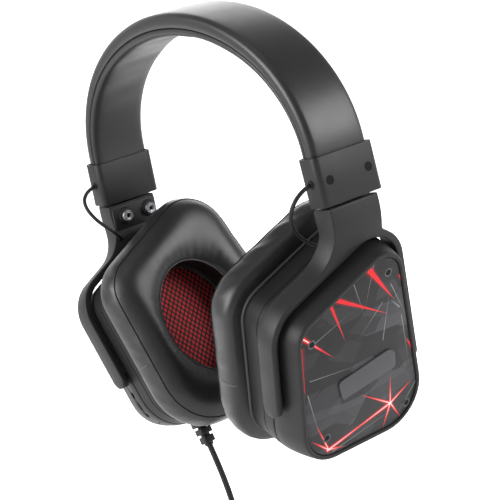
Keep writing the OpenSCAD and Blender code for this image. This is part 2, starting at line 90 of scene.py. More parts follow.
lights = {
    "left": {"place": (-0.25, -1.3, 0.45), "aim": (0, 0, -0.1), "size": (0.9, 0.9), "power": 34},
    "right": {"place": (1.25, 0.95, 0.38), "aim": (0.05, 0, -0.08), "size": (0.75, 0.75), "power": 22},
    "top": {"place": (0.1, -0.1, 1.3), "aim": (0, 0, -0.1), "size": (0.8, 0.8), "power": 2},
    "back": {"place": (-1.1, 0.9, 0.5), "aim": (0, 0, -0.1), "size": (0.9, 0.9), "power": 6},
}

def makeLights():
    for name, light in lights.items():
        data = bpy.data.lights.new(name, "AREA")
        data.shape = "RECTANGLE"
        data.size, data.size_y = light["size"]
        data.energy = light["power"]
        lamp = bpy.data.objects.new(name, data)
        place = Vector(light["place"])
        turn = (place - Vector(light["aim"])).to_track_quat("Z", "Y")
        lamp.matrix_world = Matrix.Translation(place) @ turn.to_matrix().to_4x4()
        bpy.context.scene.collection.objects.link(lamp)

def toLinear(hexColour):
    parts = [int(hexColour[i:i + 2], 16) / 255 for i in (1, 3, 5)]
    return tuple(c / 12.92 if c <= 0.04045 else ((c + 0.055) / 1.055) ** 2.4 for c in parts) + (1,)

def newMaterial(name, **settings):
    material = bpy.data.materials.new(name)
    material.use_nodes = True
    shader = material.node_tree.nodes["Principled BSDF"]
    for key, value in settings.items():
        shader.inputs[key].default_value = value
    return material, material.node_tree, shader

def addNode(tree, kind, settings=None, inputs=None, links=None):
    node = tree.nodes.new(kind)
    for key, value in (settings or {}).items():
        setattr(node, key, value)
    for key, value in (inputs or {}).items():
        node.inputs[key].default_value = value
    for key, socket in (links or {}).items():
        tree.links.new(socket, node.inputs[key])
    return node

def addBump(tree, shader, height, strength, distance):
    bump = addNode(tree, "ShaderNodeBump", inputs={"Strength": strength, "Distance": distance},
                   links={"Height": height})
    tree.links.new(bump.outputs[0], shader.inputs["Normal"])

# PU leatherette: embossed pebble grain, soft broad highlights, a little duller where it is handled
def leatherette(name, colour, dull, roughness, grain, depth):
    material, tree, shader = newMaterial(name, **{"Specular IOR Level": 0.4})
    where = addNode(tree, "ShaderNodeTexCoord").outputs["Object"]
    cells = addNode(tree, "ShaderNodeTexVoronoi", inputs={"Scale": 1 / (grain * mm), "Randomness": 1.0},
                    links={"Vector": where})
    fine = addNode(tree, "ShaderNodeTexNoise", inputs={"Scale": 2.6 / (grain * mm), "Detail": 3.0},
                   links={"Vector": where})
    broad = addNode(tree, "ShaderNodeTexNoise", inputs={"Scale": 45.0, "Detail": 4.0, "Roughness": 0.6},
                    links={"Vector": where})
    height = addNode(tree, "ShaderNodeMath", {"operation": "MULTIPLY_ADD"}, {1: 0.35},
                     {0: fine.outputs[0], 2: cells.outputs["Distance"]})
    addBump(tree, shader, height.outputs[0], 0.55, depth * mm)
    mix = addNode(tree, "ShaderNodeMix", {"data_type": "RGBA"},
                  {"A": toLinear(colour), "B": toLinear(dull)}, {"Factor": broad.outputs[0]})
    tree.links.new(mix.outputs["Result"], shader.inputs["Base Color"])
    rough = addNode(tree, "ShaderNodeMapRange", inputs={"To Min": roughness - 0.06, "To Max": roughness + 0.08},
                    links={"Value": broad.outputs[0]})
    tree.links.new(rough.outputs[0], shader.inputs["Roughness"])
    return material

# Moulded ABS or rubber: spark-eroded texture with faint flow variation
def moulded(name, colour, roughness, grain=0.35, depth=0.02, worn=None):
    material, tree, shader = newMaterial(name, **{"Specular IOR Level": 0.25})
    where = addNode(tree, "ShaderNodeTexCoord").outputs["Object"]
    grit = addNode(tree, "ShaderNodeTexNoise", inputs={"Scale": 1 / (grain * mm), "Detail": 2.0},
                   links={"Vector": where})
    flow = addNode(tree, "ShaderNodeTexNoise", inputs={"Scale": 60.0, "Detail": 5.0, "Roughness": 0.65},
                   links={"Vector": where})
    addBump(tree, shader, grit.outputs[0], 0.5, depth * mm)
    mix = addNode(tree, "ShaderNodeMix", {"data_type": "RGBA"},
                  {"A": toLinear(colour), "B": toLinear(worn or colour)}, {"Factor": flow.outputs[0]})
    tree.links.new(mix.outputs["Result"], shader.inputs["Base Color"])
    rough = addNode(tree, "ShaderNodeMapRange", inputs={"To Min": roughness - 0.07, "To Max": roughness + 0.09},
                    links={"Value": flow.outputs[0]})
    tree.links.new(rough.outputs[0], shader.inputs["Roughness"])
    return material

# Turned or rolled metal: fine streaks along one axis
def brushedMetal(name, colour, roughness):
    material, tree, shader = newMaterial(name, Metallic=1.0)
    where = addNode(tree, "ShaderNodeTexCoord").outputs["Object"]
    turn = addNode(tree, "ShaderNodeMapping", inputs={"Scale": (900, 900, 60)}, links={"Vector": where})
    streaks = addNode(tree, "ShaderNodeTexNoise", inputs={"Scale": 1.0, "Detail": 3.0},
                      links={"Vector": turn.outputs[0]})
    addBump(tree, shader, streaks.outputs[0], 0.3, 0.02 * mm)
    rough = addNode(tree, "ShaderNodeMapRange", inputs={"To Min": roughness - 0.08, "To Max": roughness + 0.1},
                    links={"Value": streaks.outputs[0]})
    tree.links.new(rough.outputs[0], shader.inputs["Roughness"])
    brighter = tuple(min(1, c * 1.25) for c in toLinear(colour)[:3]) + (1,)
    mix = addNode(tree, "ShaderNodeMix", {"data_type": "RGBA"}, {"A": toLinear(colour), "B": brighter},
                  {"Factor": streaks.outputs[0]})
    tree.links.new(mix.outputs["Result"], shader.inputs["Base Color"])
    return material

# Place on a cup's plate, in millimetres: X forward and Y up the plate
def platePlace(tree, side):
    sign = 1 if side == "right" else -1
    where = addNode(tree, "ShaderNodeTexCoord").outputs["Object"]
    parts = addNode(tree, "ShaderNodeSeparateXYZ", links={"Vector": where})
    lean = radians(cup["lean"])
    upPlate = Vector((sin(lean) * sign, 0, cos(lean)))
    start = upPlate.dot(Vector((sign * cup["across"], 0, cup["height"])) * mm)
    height = addNode(tree, "ShaderNodeVectorMath", {"operation": "DOT_PRODUCT"}, {1: upPlate}, {0: where})
    across = addNode(tree, "ShaderNodeMath", {"operation": "MULTIPLY"}, {1: 1000.0}, {0: parts.outputs["Y"]})
    along = addNode(tree, "ShaderNodeMath", {"operation": "MULTIPLY_ADD"}, {1: 1000.0, 2: -1000 * start},
                    {0: height.outputs["Value"]})
    place = addNode(tree, "ShaderNodeCombineXYZ", links={"X": across.outputs[0], "Y": along.outputs[0]})
    return place.outputs[0]

# Wedge of light from one place to another: 1 where it starts and 0 at its tip and sides
def ray(tree, place, start, end, width):
    du, dv = end[0] - start[0], end[1] - start[1]
    local = addNode(tree, "ShaderNodeMapping", {"vector_type": "TEXTURE"},
                    {"Location": (*start, 0), "Rotation": (0, 0, atan2(dv, du)),
                     "Scale": (sqrt(du * du + dv * dv), width, 1)}, {"Vector": place})
    size = addNode(tree, "ShaderNodeVectorMath", {"operation": "ABSOLUTE"}, links={0: local.outputs[0]})
    total = addNode(tree, "ShaderNodeVectorMath", {"operation": "DOT_PRODUCT"}, {1: (1, 1, 0)},
                    {0: size.outputs[0]})
    value = addNode(tree, "ShaderNodeMath", {"operation": "SUBTRACT", "use_clamp": True}, {0: 1.0},
                    {1: total.outputs["Value"]})
    ahead = addNode(tree, "ShaderNodeSeparateXYZ", links={"Vector": local.outputs[0]})
    front = addNode(tree, "ShaderNodeMath", {"operation": "GREATER_THAN"}, {1: -0.03}, {0: ahead.outputs["X"]})
    kept = addNode(tree, "ShaderNodeMath", {"operation": "MULTIPLY"},
                   links={0: value.outputs[0], 1: front.outputs[0]})
    return kept.outputs[0]

# The brightest of several values at each place
def strongest(tree, values):
    best = values[0]
    for value in values[1:]:
        best = addNode(tree, "ShaderNodeMath", {"operation": "MAXIMUM"}, links={0: best, 1: value}).outputs[0]
    return best

# Start, end and half width of each printed line, in millimetres on the plate
printed = {
    "stars": [((17, -40), (-5, -26), 0.9), ((17, -40), (16, -21.5), 0.8), ((17, -40), (33, -31), 1.0),
              ((17, -40), (25.5, -52.5), 0.9), ((17, -40), (12, -54.5), 1.0), ((17, -40), (-24, -50), 1.2),
              ((-24, -50), (17, -40), 1.2), ((-24, -50), (-33, -31), 0.8), ((-24, -50), (-36, -40), 0.9),
              ((-24, -50), (-13, -52.5), 1.0), ((-43, 20), (-21, 0.5), 1.2)],
    "shards": [((-22, 32.5), (15, 11.5), 1.2), ((-3, 43.5), (17.5, 18), 1.8), ((-25, 30.5), (-14.5, 6.5), 0.8),
               ((-44, 13), (-39.5, -14), 1.7), ((19.5, 32), (23.5, 21.5), 0.9), ((32, -15), (25, -4.5), 1.1)],
    "hairlines": [((-12, 40), (-1, 12), 0.35), ((2, 44), (-4, 16), 0.3), ((-34, 14), (-8, 24), 0.3),
                  ((10, 0), (14, 34), 0.35), ((14, 28), (28, 2), 0.34), ((-38, -14), (-28, -46), 0.35),
                  ((-20, -52), (30, -42), 0.3), ((20, 14), (12, 22), 0.5), ((-36, -6), (4, -10), 0.28),
                  ((8, 20), (-10, 2), 0.3), ((34, -34), (18, -54), 0.35), ((22, 8), (30, -26), 0.35)],
}

# Printed and lacquered polycarbonate: grey shards with thin lines and red rays of light
def printedPlate(side):
    finishing = {"Specular IOR Level": 0.25, "Coat Weight": 0.08, "Coat Roughness": 0.25}
    material, tree, shader = newMaterial("printedPlate" + side.capitalize(), **finishing)
    place = platePlace(tree, side)
    greys = []
    for angle, scale, seed in ((24, (0.045, 0.085, 1), 3.1), (-38, (0.05, 0.11, 1), 7.7),
                               (70, (0.03, 0.07, 1), 12.3)):
        turn = addNode(tree, "ShaderNodeMapping", inputs={"Location": (seed, seed * 1.7, 0),
                       "Rotation": (0, 0, radians(angle)), "Scale": scale}, links={"Vector": place})
        shards = addNode(tree, "ShaderNodeTexVoronoi", {"voronoi_dimensions": "2D"},
                         {"Scale": 1.0, "Randomness": 1.0}, {"Vector": turn.outputs[0]})
        grey = addNode(tree, "ShaderNodeSeparateColor", links={"Color": shards.outputs["Color"]})
        greys.append(grey.outputs[0])
    tone = addNode(tree, "ShaderNodeMath", {"operation": "MULTIPLY"}, {1: 0.55}, {0: greys[0]})
    for grey in greys[1:]:
        tone = addNode(tree, "ShaderNodeMath", {"operation": "MULTIPLY_ADD"}, {1: 0.3},
                       {0: grey, 2: tone.outputs[0]})
    base = addNode(tree, "ShaderNodeValToRGB", links={"Fac": tone.outputs[0]})
    base.color_ramp.elements[0].color = toLinear("#0e0e0f")
    base.color_ramp.elements[0].position = 0.15
    base.color_ramp.elements[1].color = toLinear("#3e3e41")
    base.color_ramp.elements[1].position = 1.0
    middle = base.color_ramp.elements.new(0.62)
    middle.color = toLinear("#19191b")
    lines = strongest(tree, [ray(tree, place, *line) for line in printed["hairlines"]])
    lineShare = addNode(tree, "ShaderNodeMapRange", inputs={"From Min": 0.0, "From Max": 0.4, "To Max": 0.55},
                        links={"Value": lines})
    lined = addNode(tree, "ShaderNodeMix", {"data_type": "RGBA"}, {"B": toLinear("#8c8c8f")},
                    {"Factor": lineShare.outputs[0], "A": base.outputs[0]})
    reds = printed["stars"] + printed["shards"]
    light = strongest(tree, [ray(tree, place, *line) for line in reds])
    glow = strongest(tree, [ray(tree, place, a, b, width * 2.4) for a, b, width in reds])
    glowShare = addNode(tree, "ShaderNodeMapRange", {"interpolation_type": "SMOOTHSTEP"},
                        {"From Max": 0.9, "To Max": 0.6}, {"Value": glow})
    warm = addNode(tree, "ShaderNodeMix", {"data_type": "RGBA"}, {"B": toLinear("#9c1219")},
                   {"Factor": glowShare.outputs[0], "A": lined.outputs["Result"]})
    core = addNode(tree, "ShaderNodeMapRange", {"interpolation_type": "SMOOTHSTEP"}, {"From Max": 0.14},
                   {"Value": light})
    red = addNode(tree, "ShaderNodeMix", {"data_type": "RGBA"}, {"B": toLinear("#cc1720")},
                  {"Factor": core.outputs[0], "A": warm.outputs["Result"]})
    hot = strongest(tree, [ray(tree, place, a, b, width * 0.55) for a, b, width in printed["stars"]])
    hotShare = addNode(tree, "ShaderNodeMapRange", {"interpolation_type": "SMOOTHSTEP"},
                       {"From Min": 0.3, "From Max": 0.75}, {"Value": hot})
    colour = addNode(tree, "ShaderNodeMix", {"data_type": "RGBA"}, {"B": toLinear("#ffd9d6")},
                     {"Factor": hotShare.outputs[0], "A": red.outputs["Result"]})
    tree.links.new(colour.outputs["Result"], shader.inputs["Base Color"])
    dust = addNode(tree, "ShaderNodeTexNoise", inputs={"Scale": 1.5, "Detail": 3.0}, links={"Vector": place})
    rough = addNode(tree, "ShaderNodeMapRange", inputs={"To Min": 0.42, "To Max": 0.55},
                    links={"Value": dust.outputs[0]})
    tree.links.new(rough.outputs[0], shader.inputs["Roughness"])
    return material

net = {"across": 3.2, "row": 2.0}  # spacing of the holes in millimetres, drawn coarser than a real net's

# Knitted polyester net: red backing seen through rows of small black-edged holes
def meshCloth(side):
    material, tree, shader = newMaterial("redMesh" + side.capitalize(), Roughness=0.85)
    place = platePlace(tree, side)
    scaled = addNode(tree, "ShaderNodeVectorMath", {"operation": "DIVIDE"},
                     {1: (net["across"], net["row"] * 2, 1)}, {0: place})
    dots = []
    for shift in ((0, 0, 0), (0.5, 0.5, 0)):
        moved = addNode(tree, "ShaderNodeVectorMath", {"operation": "ADD"}, {1: shift}, {0: scaled.outputs[0]})
        wrapped = addNode(tree, "ShaderNodeVectorMath", {"operation": "FRACTION"}, links={0: moved.outputs[0]})
        centred = addNode(tree, "ShaderNodeVectorMath", {"operation": "SUBTRACT"}, {1: (0.5, 0.5, 0)},
                          {0: wrapped.outputs[0]})
        flat = addNode(tree, "ShaderNodeVectorMath", {"operation": "MULTIPLY"}, {1: (1.0, 0.82, 0)},
                       {0: centred.outputs[0]})
        far = addNode(tree, "ShaderNodeVectorMath", {"operation": "LENGTH"}, links={0: flat.outputs[0]})
        dots.append(far.outputs["Value"])
    near = addNode(tree, "ShaderNodeMath", {"operation": "MINIMUM"}, links={0: dots[0], 1: dots[1]})
    hole = addNode(tree, "ShaderNodeMapRange", {"interpolation_type": "SMOOTHSTEP"},
                   {"From Min": 0.27, "From Max": 0.17}, {"Value": near.outputs[0]})
    patchy = addNode(tree, "ShaderNodeTexNoise", inputs={"Scale": 0.4, "Detail": 2.0}, links={"Vector": place})
    red = addNode(tree, "ShaderNodeMix", {"data_type": "RGBA"},
                  {"A": toLinear("#8e1015"), "B": toLinear("#c41d24")}, {"Factor": patchy.outputs[0]})
    colour = addNode(tree, "ShaderNodeMix", {"data_type": "RGBA"}, {"A": toLinear("#180608")},
                     {"Factor": hole.outputs[0], "B": red.outputs["Result"]})
    tree.links.new(colour.outputs["Result"], shader.inputs["Base Color"])
    addBump(tree, shader, near.outputs[0], 0.7, 0.5 * mm)
    return material

# Every finish of the headset, by the piece that wears it
def makeMaterials():
    made = {
        # stretched over foam: near-black with a soft sheen along each crown
        "band": leatherette("bandLeatherette", "#1a1a1b", "#161617", 0.38, 0.55, 0.05),
        "pad": leatherette("padLeatherette", "#171718", "#131314", 0.42, 0.5, 0.045),
        "ear": leatherette("earLeatherette", "#171718", "#131314", 0.40, 0.5, 0.045),
        "seam": leatherette("stitchedSeam", "#464648", "#38383a", 0.5, 0.35, 0.06),  # rubbed lighter
        # satin mouldings: no mirror edges, only a grey bloom where they face a lamp
        "sleeve": moulded("sleeveAbs", "#191919", 0.48, worn="#1e1e1f"),
        "yoke": moulded("yokeAbs", "#191919", 0.48, worn="#1e1e1f"),
        "clamp": moulded("clampAbs", "#1a1a1b", 0.5),
        "housing": moulded("housingAbs", "#161616", 0.48, worn="#1b1b1c"),
        "rim": moulded("rimAbs", "#0b0b0c", 0.42),
        "lip": moulded("lipAbs", "#39393b", 0.45),  # the thin light line behind each cushion
        "badge": moulded("badgeAbs", "#424245", 0.55, worn="#464649"),  # flat grey, lighter than the print
        "inner": moulded("innerAbs", "#0f0f10", 0.5),
        "wheel": moulded("wheelAbs", "#101011", 0.45),
        "tie": moulded("tieNylon", "#111112", 0.4),
        "blackAndSocketShade": moulded("blackAndSocketShade", "#040404", 0.8),  # near-black: the real black of the sleeve screws, slider guides, potentiometer and side seams, and painted shade where it lines the screw sockets
        "rubber": moulded("cordPvc", "#121213", 0.48, 0.4, 0.015),  # soft PVC, duller than the housings
        "screwRing": moulded("greyedSteel", "#48484b", 0.4, 0.2, 0.01),  # blacked steel screw heads, drawn in one flat grey all over
        # bright metals with fine streaks
        "steel": brushedMetal("springSteel", "#7e8084", 0.36),
        "rivet": brushedMetal("nickelledSteel", "#86878a", 0.42),
        "gold": brushedMetal("goldPlate", "#d8ab55", 0.18),
        "film": moulded("speakerFilm", "#b9a878", 0.3),  # pale polyester film
        "board": moulded("solderMask", "#1d5a35", 0.35),  # glossy green lacquer
    }
    for side in sides:
        made["plate" + side] = printedPlate(side)
        made["cloth" + side] = meshCloth(side)
    return made

def newVerts(made):
    return [v for v in made["geom"] if isinstance(v, bmesh.types.BMVert)]

# Slab between two places along the cup's axis, with an outline of (forward, up) points
def slab(outline, low, high):
    bm = bmesh.new()
    corners = [bm.verts.new((low, u, v)) for u, v in outline]
    edges = [bm.edges.new((corners[i - 1], corners[i])) for i in range(len(corners))]
    face = bmesh.ops.contextual_create(bm, geom=edges)["faces"]
    made = bmesh.ops.extrude_face_region(bm, geom=face)
    bmesh.ops.translate(bm, vec=(high - low, 0, 0), verts=newVerts(made))
    bmesh.ops.recalc_face_normals(bm, faces=bm.faces)
    return bm

# Skin through closed rings of points; closed joins the last ring to the first, and caps fill both ends
def loft(rings, closed=False, caps=True):
    bm = bmesh.new()
    loops = [[bm.verts.new(point) for point in ring] for ring in rings]
    for here, there in zip(loops, loops[1:] + loops[:1] if closed else loops[1:]):
        for k in range(len(here)):
            bm.faces.new((here[k - 1], here[k], there[k], there[k - 1]))
    if caps and not closed:
        bm.faces.new(loops[0])
        bm.faces.new(loops[-1])
    return bm

# Turned solid about the frame's axis: profile points are (radius, height)
def turned(profile, steps=40, axis="Z"):
    bm = bmesh.new()
    corners = [bm.verts.new((r, 0, h)) for r, h in profile]
    line = [bm.edges.new(pair) for pair in zip(corners, corners[1:])]
    bmesh.ops.spin(bm, geom=corners + line, cent=(0, 0, 0), axis=(0, 0, 1), angle=tau, steps=steps,
                   use_merge=True)
    bmesh.ops.remove_doubles(bm, verts=bm.verts, dist=1e-4)
    if axis == "X":
        bmesh.ops.rotate(bm, cent=(0, 0, 0), matrix=Matrix.Rotation(pi / 2, 3, "Y"), verts=bm.verts)
    return bm

def shifted(bm, offset):
    bmesh.ops.translate(bm, vec=offset, verts=bm.verts)
    return bm

def joined(parts):
    whole = bmesh.new()
    for part in parts:
        mesh = bpy.data.meshes.new("part")
        part.to_mesh(mesh)
        whole.from_mesh(mesh)
        part.free()
        bpy.data.meshes.remove(mesh)
    return whole

def bevelled(bm, edges, width, segments):
    bmesh.ops.bevel(bm, geom=edges, offset=width, offset_type="OFFSET", segments=segments, profile=0.5,
                    affect="EDGES", clamp_overlap=True, material=-1)

# Rounds the edges whose faces meet at more than an angle
def bevelEdges(bm, width, segments, angle):
    sharp = [e for e in bm.edges if len(e.link_faces) == 2 and e.calc_face_angle() > radians(angle)]
    bevelled(bm, sharp, width, segments)

# Rounds the edges that run along an axis
def bevelAlong(bm, axis, width, segments):
    chosen = [e for e in bm.edges if abs((e.verts[0].co - e.verts[1].co).normalized()[axis]) > 0.99]
    bevelled(bm, chosen, width, segments)

# Turns a bmesh in its local frame into a finished piece that rides on a body
def finish(bm, name, local, side, body, material, nodes=(), smooth=35):
    bmesh.ops.transform(bm, matrix=local, verts=bm.verts)
    if side == "left":
        bmesh.ops.transform(bm, matrix=mirrored, verts=bm.verts)
    bmesh.ops.remove_doubles(bm, verts=bm.verts, dist=2e-6)
    bmesh.ops.recalc_face_normals(bm, faces=bm.faces)
    mesh = bpy.data.meshes.new(name)
    bm.to_mesh(mesh)
    bm.free()
    mesh.shade_smooth()
    mesh.set_sharp_from_angle(angle=radians(smooth))
    mesh.materials.append(material)
    piece = bpy.data.objects.new(name, mesh)
    bpy.context.scene.collection.objects.link(piece)
    if body:
        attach(piece, body)
    if nodes:
        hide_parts(*nodes)
    return piece

# Piece of one cup, riding on it in place of the CAD nodes of the same side
def finishOnCup(bm, name, side, material, nodes=(), smooth=32):
    return finish(bm, name + "_" + side, cupFrame, side, "cup_" + side, material,
                  [node + "_" + side for node in nodes], smooth)

# Open line with its corners cut twice, which keeps both ends
def polyCurve(points):
    for cutting in range(2):
        finer = [points[0]]
        for a, b in zip(points, points[1:]):
            finer += [a.lerp(b, 0.25), a.lerp(b, 0.75)]
        points = finer + [points[-1]]
    return points

# Round tube swept along points with a frame that doesn't twist
def tube(points, radius, around, closed=False, ref=Vector((0, 1, 0))):
    rings = []
    count = len(points)
    normal = None
    for i, point in enumerate(points):
        ahead = points[(i + 1) % count] if closed else points[min(i + 1, count - 1)]
        behind = points[i - 1] if closed or i else points[0]
        along = (ahead - behind).normalized()
        across = along.cross(ref) if normal is None else normal - along * normal.dot(along)
        normal = across.normalized()
        other = along.cross(normal)
        rings.append([point + (normal * cos(tau * k / around) + other * sin(tau * k / around)) * radius
                      for k in range(around)])
    return loft(rings, closed=closed)

# Corners of a cup's outline: forward, up and radius in millimetres
rimCorners = [(-46, 22, 13), (-38, -56, 21), (42, -55.5, 21), (17, 53, 14)]

# Direction that a straight side of the outline faces
def edgeAngle(i):
    a, b = rimCorners[i % 4], rimCorners[(i + 1) % 4]
    return atan2(b[1] - a[1], b[0] - a[0]) - pi / 2

def cornerCentre(i):
    u, v, r = rimCorners[i]
    p, q = edgeAngle(i - 1), edgeAngle(i)
    bend = 1 + cos(p - q)
    return u - r * (cos(p) + cos(q)) / bend, v - r * (sin(p) + sin(q)) / bend

def cornerArc(i, grow, steps):
    u, v = cornerCentre(i)
    start = edgeAngle(i - 1)
    turn = (edgeAngle(i) - start) % tau
    radius = rimCorners[i][2] + grow
    return [(u + radius * cos(start + turn * k / steps), v + radius * sin(start + turn * k / steps))
            for k in range(steps + 1)]

outlineDetail = {"arc": 10, "straight": 4}  # runs in each corner and each straight side

# Points of the outline grown by so many millimetres
def cupOutline(grow):
    points = []
    runs = outlineDetail["straight"]
    for i in range(4):
        arc = cornerArc(i, grow, outlineDetail["arc"])
        after = cornerArc((i + 1) % 4, grow, outlineDetail["arc"])[0]
        last = arc[-1]
        points += arc
        points += [(last[0] + (after[0] - last[0]) * k / runs, last[1] + (after[1] - last[1]) * k / runs)
                   for k in range(1, runs)]
    return points

def ringAt(w, grow):
    return [(w, u, v) for u, v in cupOutline(grow)]

ear = {"u": -8, "v": -9, "halfWidth": 25, "halfHeight": 31, "border": 3}

# Distance from the ear's centre to the grown outline, in a direction
def reach(direction, outline):
    du, dv = cos(direction), sin(direction)
    for (u0, v0), (u1, v1) in zip(outline, outline[1:] + outline[:1]):
        a, b, c, d = u0 - ear["u"], v0 - ear["v"], u1 - u0, v1 - v0
        cross = du * d - dv * c
        if abs(cross) > 1e-9:
            along = (a * d - b * c) / cross
            share = (a * dv - b * du) / cross
            if along > 0 and -1e-6 <= share <= 1 + 1e-6:
                return along
    return 0

# Distance from the ear's centre to the edge of its opening
def earEllipse(direction, grow=0):
    a, b = ear["halfWidth"] + grow, ear["halfHeight"] + grow
    return a * b / sqrt((b * cos(direction)) ** 2 + (a * sin(direction)) ** 2)

cord = {"side": -18, "diameter": 3.4, "length": 2.2, "around": 10}  # the length in metres, the rest millimetres
# Places on the cord before and after its coil: across and up, all in one upright plane
cordRoute = [(-42.7, -223.9), (-41, -228.5), (-39.5, -233), (-38, -237.5), (-36.7, -242), (-35.6, -246.5),
             (-34.7, -251), (-34, -255.5), (-33.6, -260), (-33.2, -263.5), (-32, -267), (-30, -269.5),
             (-27, -271), (-24, -271.5)]
tailRoute = [(0, -292), (2.6, -296.5), (4.6, -301), (6, -305.5), (6.8, -310), (7, -314)]
coil = {"centre": Vector((-23, -18, -295)), "radius": 20, "turns": 17.25, "pitch": 3.45,
        "columns": (3, 4, 5, 4, 3), "pointsPerTurn": 40, "settleIn": 0.16, "settleOut": 0.12, "joinOut": 3.3}
plugPlace = Vector((7, -18, -314))
tieWidth = 10

def cordPoint(place):
    return Vector((place[0], cord["side"], place[1]))

# Places of the turns in the bundle's section, wound column by column: (outwards, sideways)
def bundleSlots():
    slots = []
    for column, count in enumerate(coil["columns"]):
        rows = [(row - (count - 1) / 2) * coil["pitch"] for row in range(count)]
        if column % 2 == 0:
            rows.reverse()
        slots += [(row, (column - 2) * coil["pitch"]) for row in rows]
    return slots

# Places round the coil: each turn slides from one slot of the bundle to the next
def coilTurns():
    slots = bundleSlots()
    points = []
    for i in range(1, round(coil["turns"] * coil["pointsPerTurn"])):
        turn = i / coil["pointsPerTurn"]
        index = min(int(turn), len(slots) - 2)
        share = turn - index
        share = share * share * (3 - 2 * share)
        out = slots[index][0] + (slots[index + 1][0] - slots[index][0]) * share
        aside = slots[index][1] + (slots[index + 1][1] - slots[index][1]) * share
        settle = min(1, turn / coil["settleIn"], (coil["turns"] - turn) / coil["settleOut"])
        aside *= settle
        out = out * settle + coil["joinOut"] * (1 - settle)
        angle = pi / 2 - tau * turn
        away = coil["radius"] + out
        points.append(coil["centre"] + Vector((cos(angle) * away, aside, sin(angle) * away)))
    return points

def makeCord(skins):
    route = polyCurve([cordPoint(place) for place in cordRoute])
    tail = polyCurve([cordPoint(place) for place in tailRoute])
    points = route + coilTurns() + tail
    measured = sum((b - a).length for a, b in zip(points, points[1:])) * mm
    print("cord length", round(measured, 3))
    strand = finish(tube(points, cord["diameter"] / 2, cord["around"]), "cordAndCoil", worldFrame, "right",
                    "cup_left", skins["rubber"], ("cord", "cord_coil"), smooth=60)
    body = turned([(0, -22), (3.0, -22), (3.45, -21.6), (3.6, -21), (3.6, -17), (3.3, -16.7), (3.3, -16.2),
                   (3.6, -15.9), (3.6, -15.2), (3.3, -14.9), (3.3, -14.4), (3.6, -14.1), (3.6, -9),
                   (3.3, -8), (2.6, -2.5), (2.2, -0.2), (1.7, 0), (0, 0)], 36)
    body = finish(shifted(body, plugPlace), "plugGrip", worldFrame, "right", "cup_left",
                  skins["rubber"], ("plug_body",))
    pin = turned([(0, -36), (0.45, -35.9), (1.25, -34.6), (1.7, -33.6), (1.7, -32.9), (1.25, -32.1),
                  (1.25, -31.8), (1.75, -31.3), (1.75, -30.1), (1.68, -30), (1.68, -29.3), (1.75, -29.2),
                  (1.75, -27.4),
                  (1.68, -27.3), (1.68, -26.6), (1.75, -26.5), (1.75, -24.7), (1.68, -24.6), (1.68, -23.9),
                  (1.75, -23.8), (1.75, -21.8), (0, -21.8)], 32)
    pin = finish(shifted(pin, plugPlace), "plugPin", worldFrame, "right", "cup_left",
                 skins["gold"], ("plug_pin",))
    half = tieWidth / 2
    strap = turned([(9.9, -half), (10.3, -half - 0.1), (10.6, -half + 0.3), (10.6, half - 0.3),
                    (10.3, half + 0.1), (9.9, half), (9.7, 0), (9.9, -half)], 48, "X")
    tie = finish(shifted(strap, coil["centre"] + Vector((0, 0, coil["radius"]))), "coilTie", worldFrame, "right",
                 "cup_left", skins["tie"], ("cord_tie",))

# The depths are from the band's outer face, at its ends and at its crown
band = {"halfWidth": 99.5, "rise": 76, "shoulder": -64, "width": 34, "tail": 1.6, "steps": 96, "edgeRound": 3.4,
        "seamEnd": 5.8, "seamCrown": 7.5, "padEnd": 9.2, "padCrown": 12, "tuck": 0.1, "dome": 0.2,
        "heldAside": 15, "heldBelow": -62, "puffCap": 0.9}

# Stations along the band: (half width share, rise share, drop below the shoulder)
def bandStations():
    turns = [pi * i / band["steps"] for i in range(band["steps"] + 1)]
    return [(1, 0, band["tail"])] + [(cos(a), sin(a), 0) for a in turns] + [(-1, 0, band["tail"])]

# One section of the band: corners are (across, depth at the ends, depth at the crown)
def bandSection(station, corners):
    across, up, drop = station
    return [((band["halfWidth"] - endDepth) * across, y,
             band["shoulder"] - drop + (band["rise"] - crownDepth) * up) for y, endDepth, crownDepth in corners]

# The cover's section: a rounded edge, then a groove over the pad's seam, and a shallow dome on top
def coverCorners():
    edge, r = band["width"] / 2, band["edgeRound"]
    outer = [(edge - r + r * sin(a), r - r * cos(a)) for a in [radians(15 * k) for k in range(7)]]
    outer += [(edge, 4.2), (edge, 4.9)]
    end, crown = band["seamEnd"], band["seamCrown"]
    half = [(y, depth, depth) for y, depth in outer]
    half += [(edge - 0.15, end * 0.93, crown * 0.93), (edge - 0.7, end, crown), (edge - 3, end, crown)]
    rises = [(y, -band["dome"] * (1 - (y / 14) ** 2)) for y in (-10, -5, 0, 5, 10)]
    return [(-y, a, b) for y, a, b in reversed(half)] + [(y, d, d) for y, d in rises] + half

# The pad's section: its share of depth goes from 0 at the seam to 1 at its inner face
def padCorners():
    side = [(14.5, 0.0), (15.9, 0.02), (16.5, 0.12), (16.75, 0.32), (16.6, 0.58), (15.8, 0.8), (14.2, 0.94),
            (11.5, 0.99), (8, 1.0), (4, 1.0)]
    end, crown = band["seamEnd"] + band["tuck"], band["seamCrown"] + band["tuck"]
    half = [(y, end + (band["padEnd"] - end) * share, crown + (band["padCrown"] - crown) * share)
            for y, share in side]
    return half + [(0, band["padEnd"], band["padCrown"])] + [(-y, a, b) for y, a, b in reversed(half)]

# Share of the pad's thickness at a place, 0 at the seam's ellipse and 1 at the inner ellipse
def padDepth(place):
    x, z = place.x / mm, place.z / mm - band["shoulder"]
    seamX = band["halfWidth"] - band["seamEnd"] - band["tuck"]
    seamZ = band["rise"] - band["seamCrown"] - band["tuck"]
    innerX, innerZ = band["halfWidth"] - band["padEnd"], band["rise"] - band["padCrown"]
    outer = sqrt((x / seamX) ** 2 + (z / seamZ) ** 2)
    inner = sqrt((x / innerX) ** 2 + (z / innerZ) ** 2)
    return (1 - outer) / max(1e-6, (inner - outer))

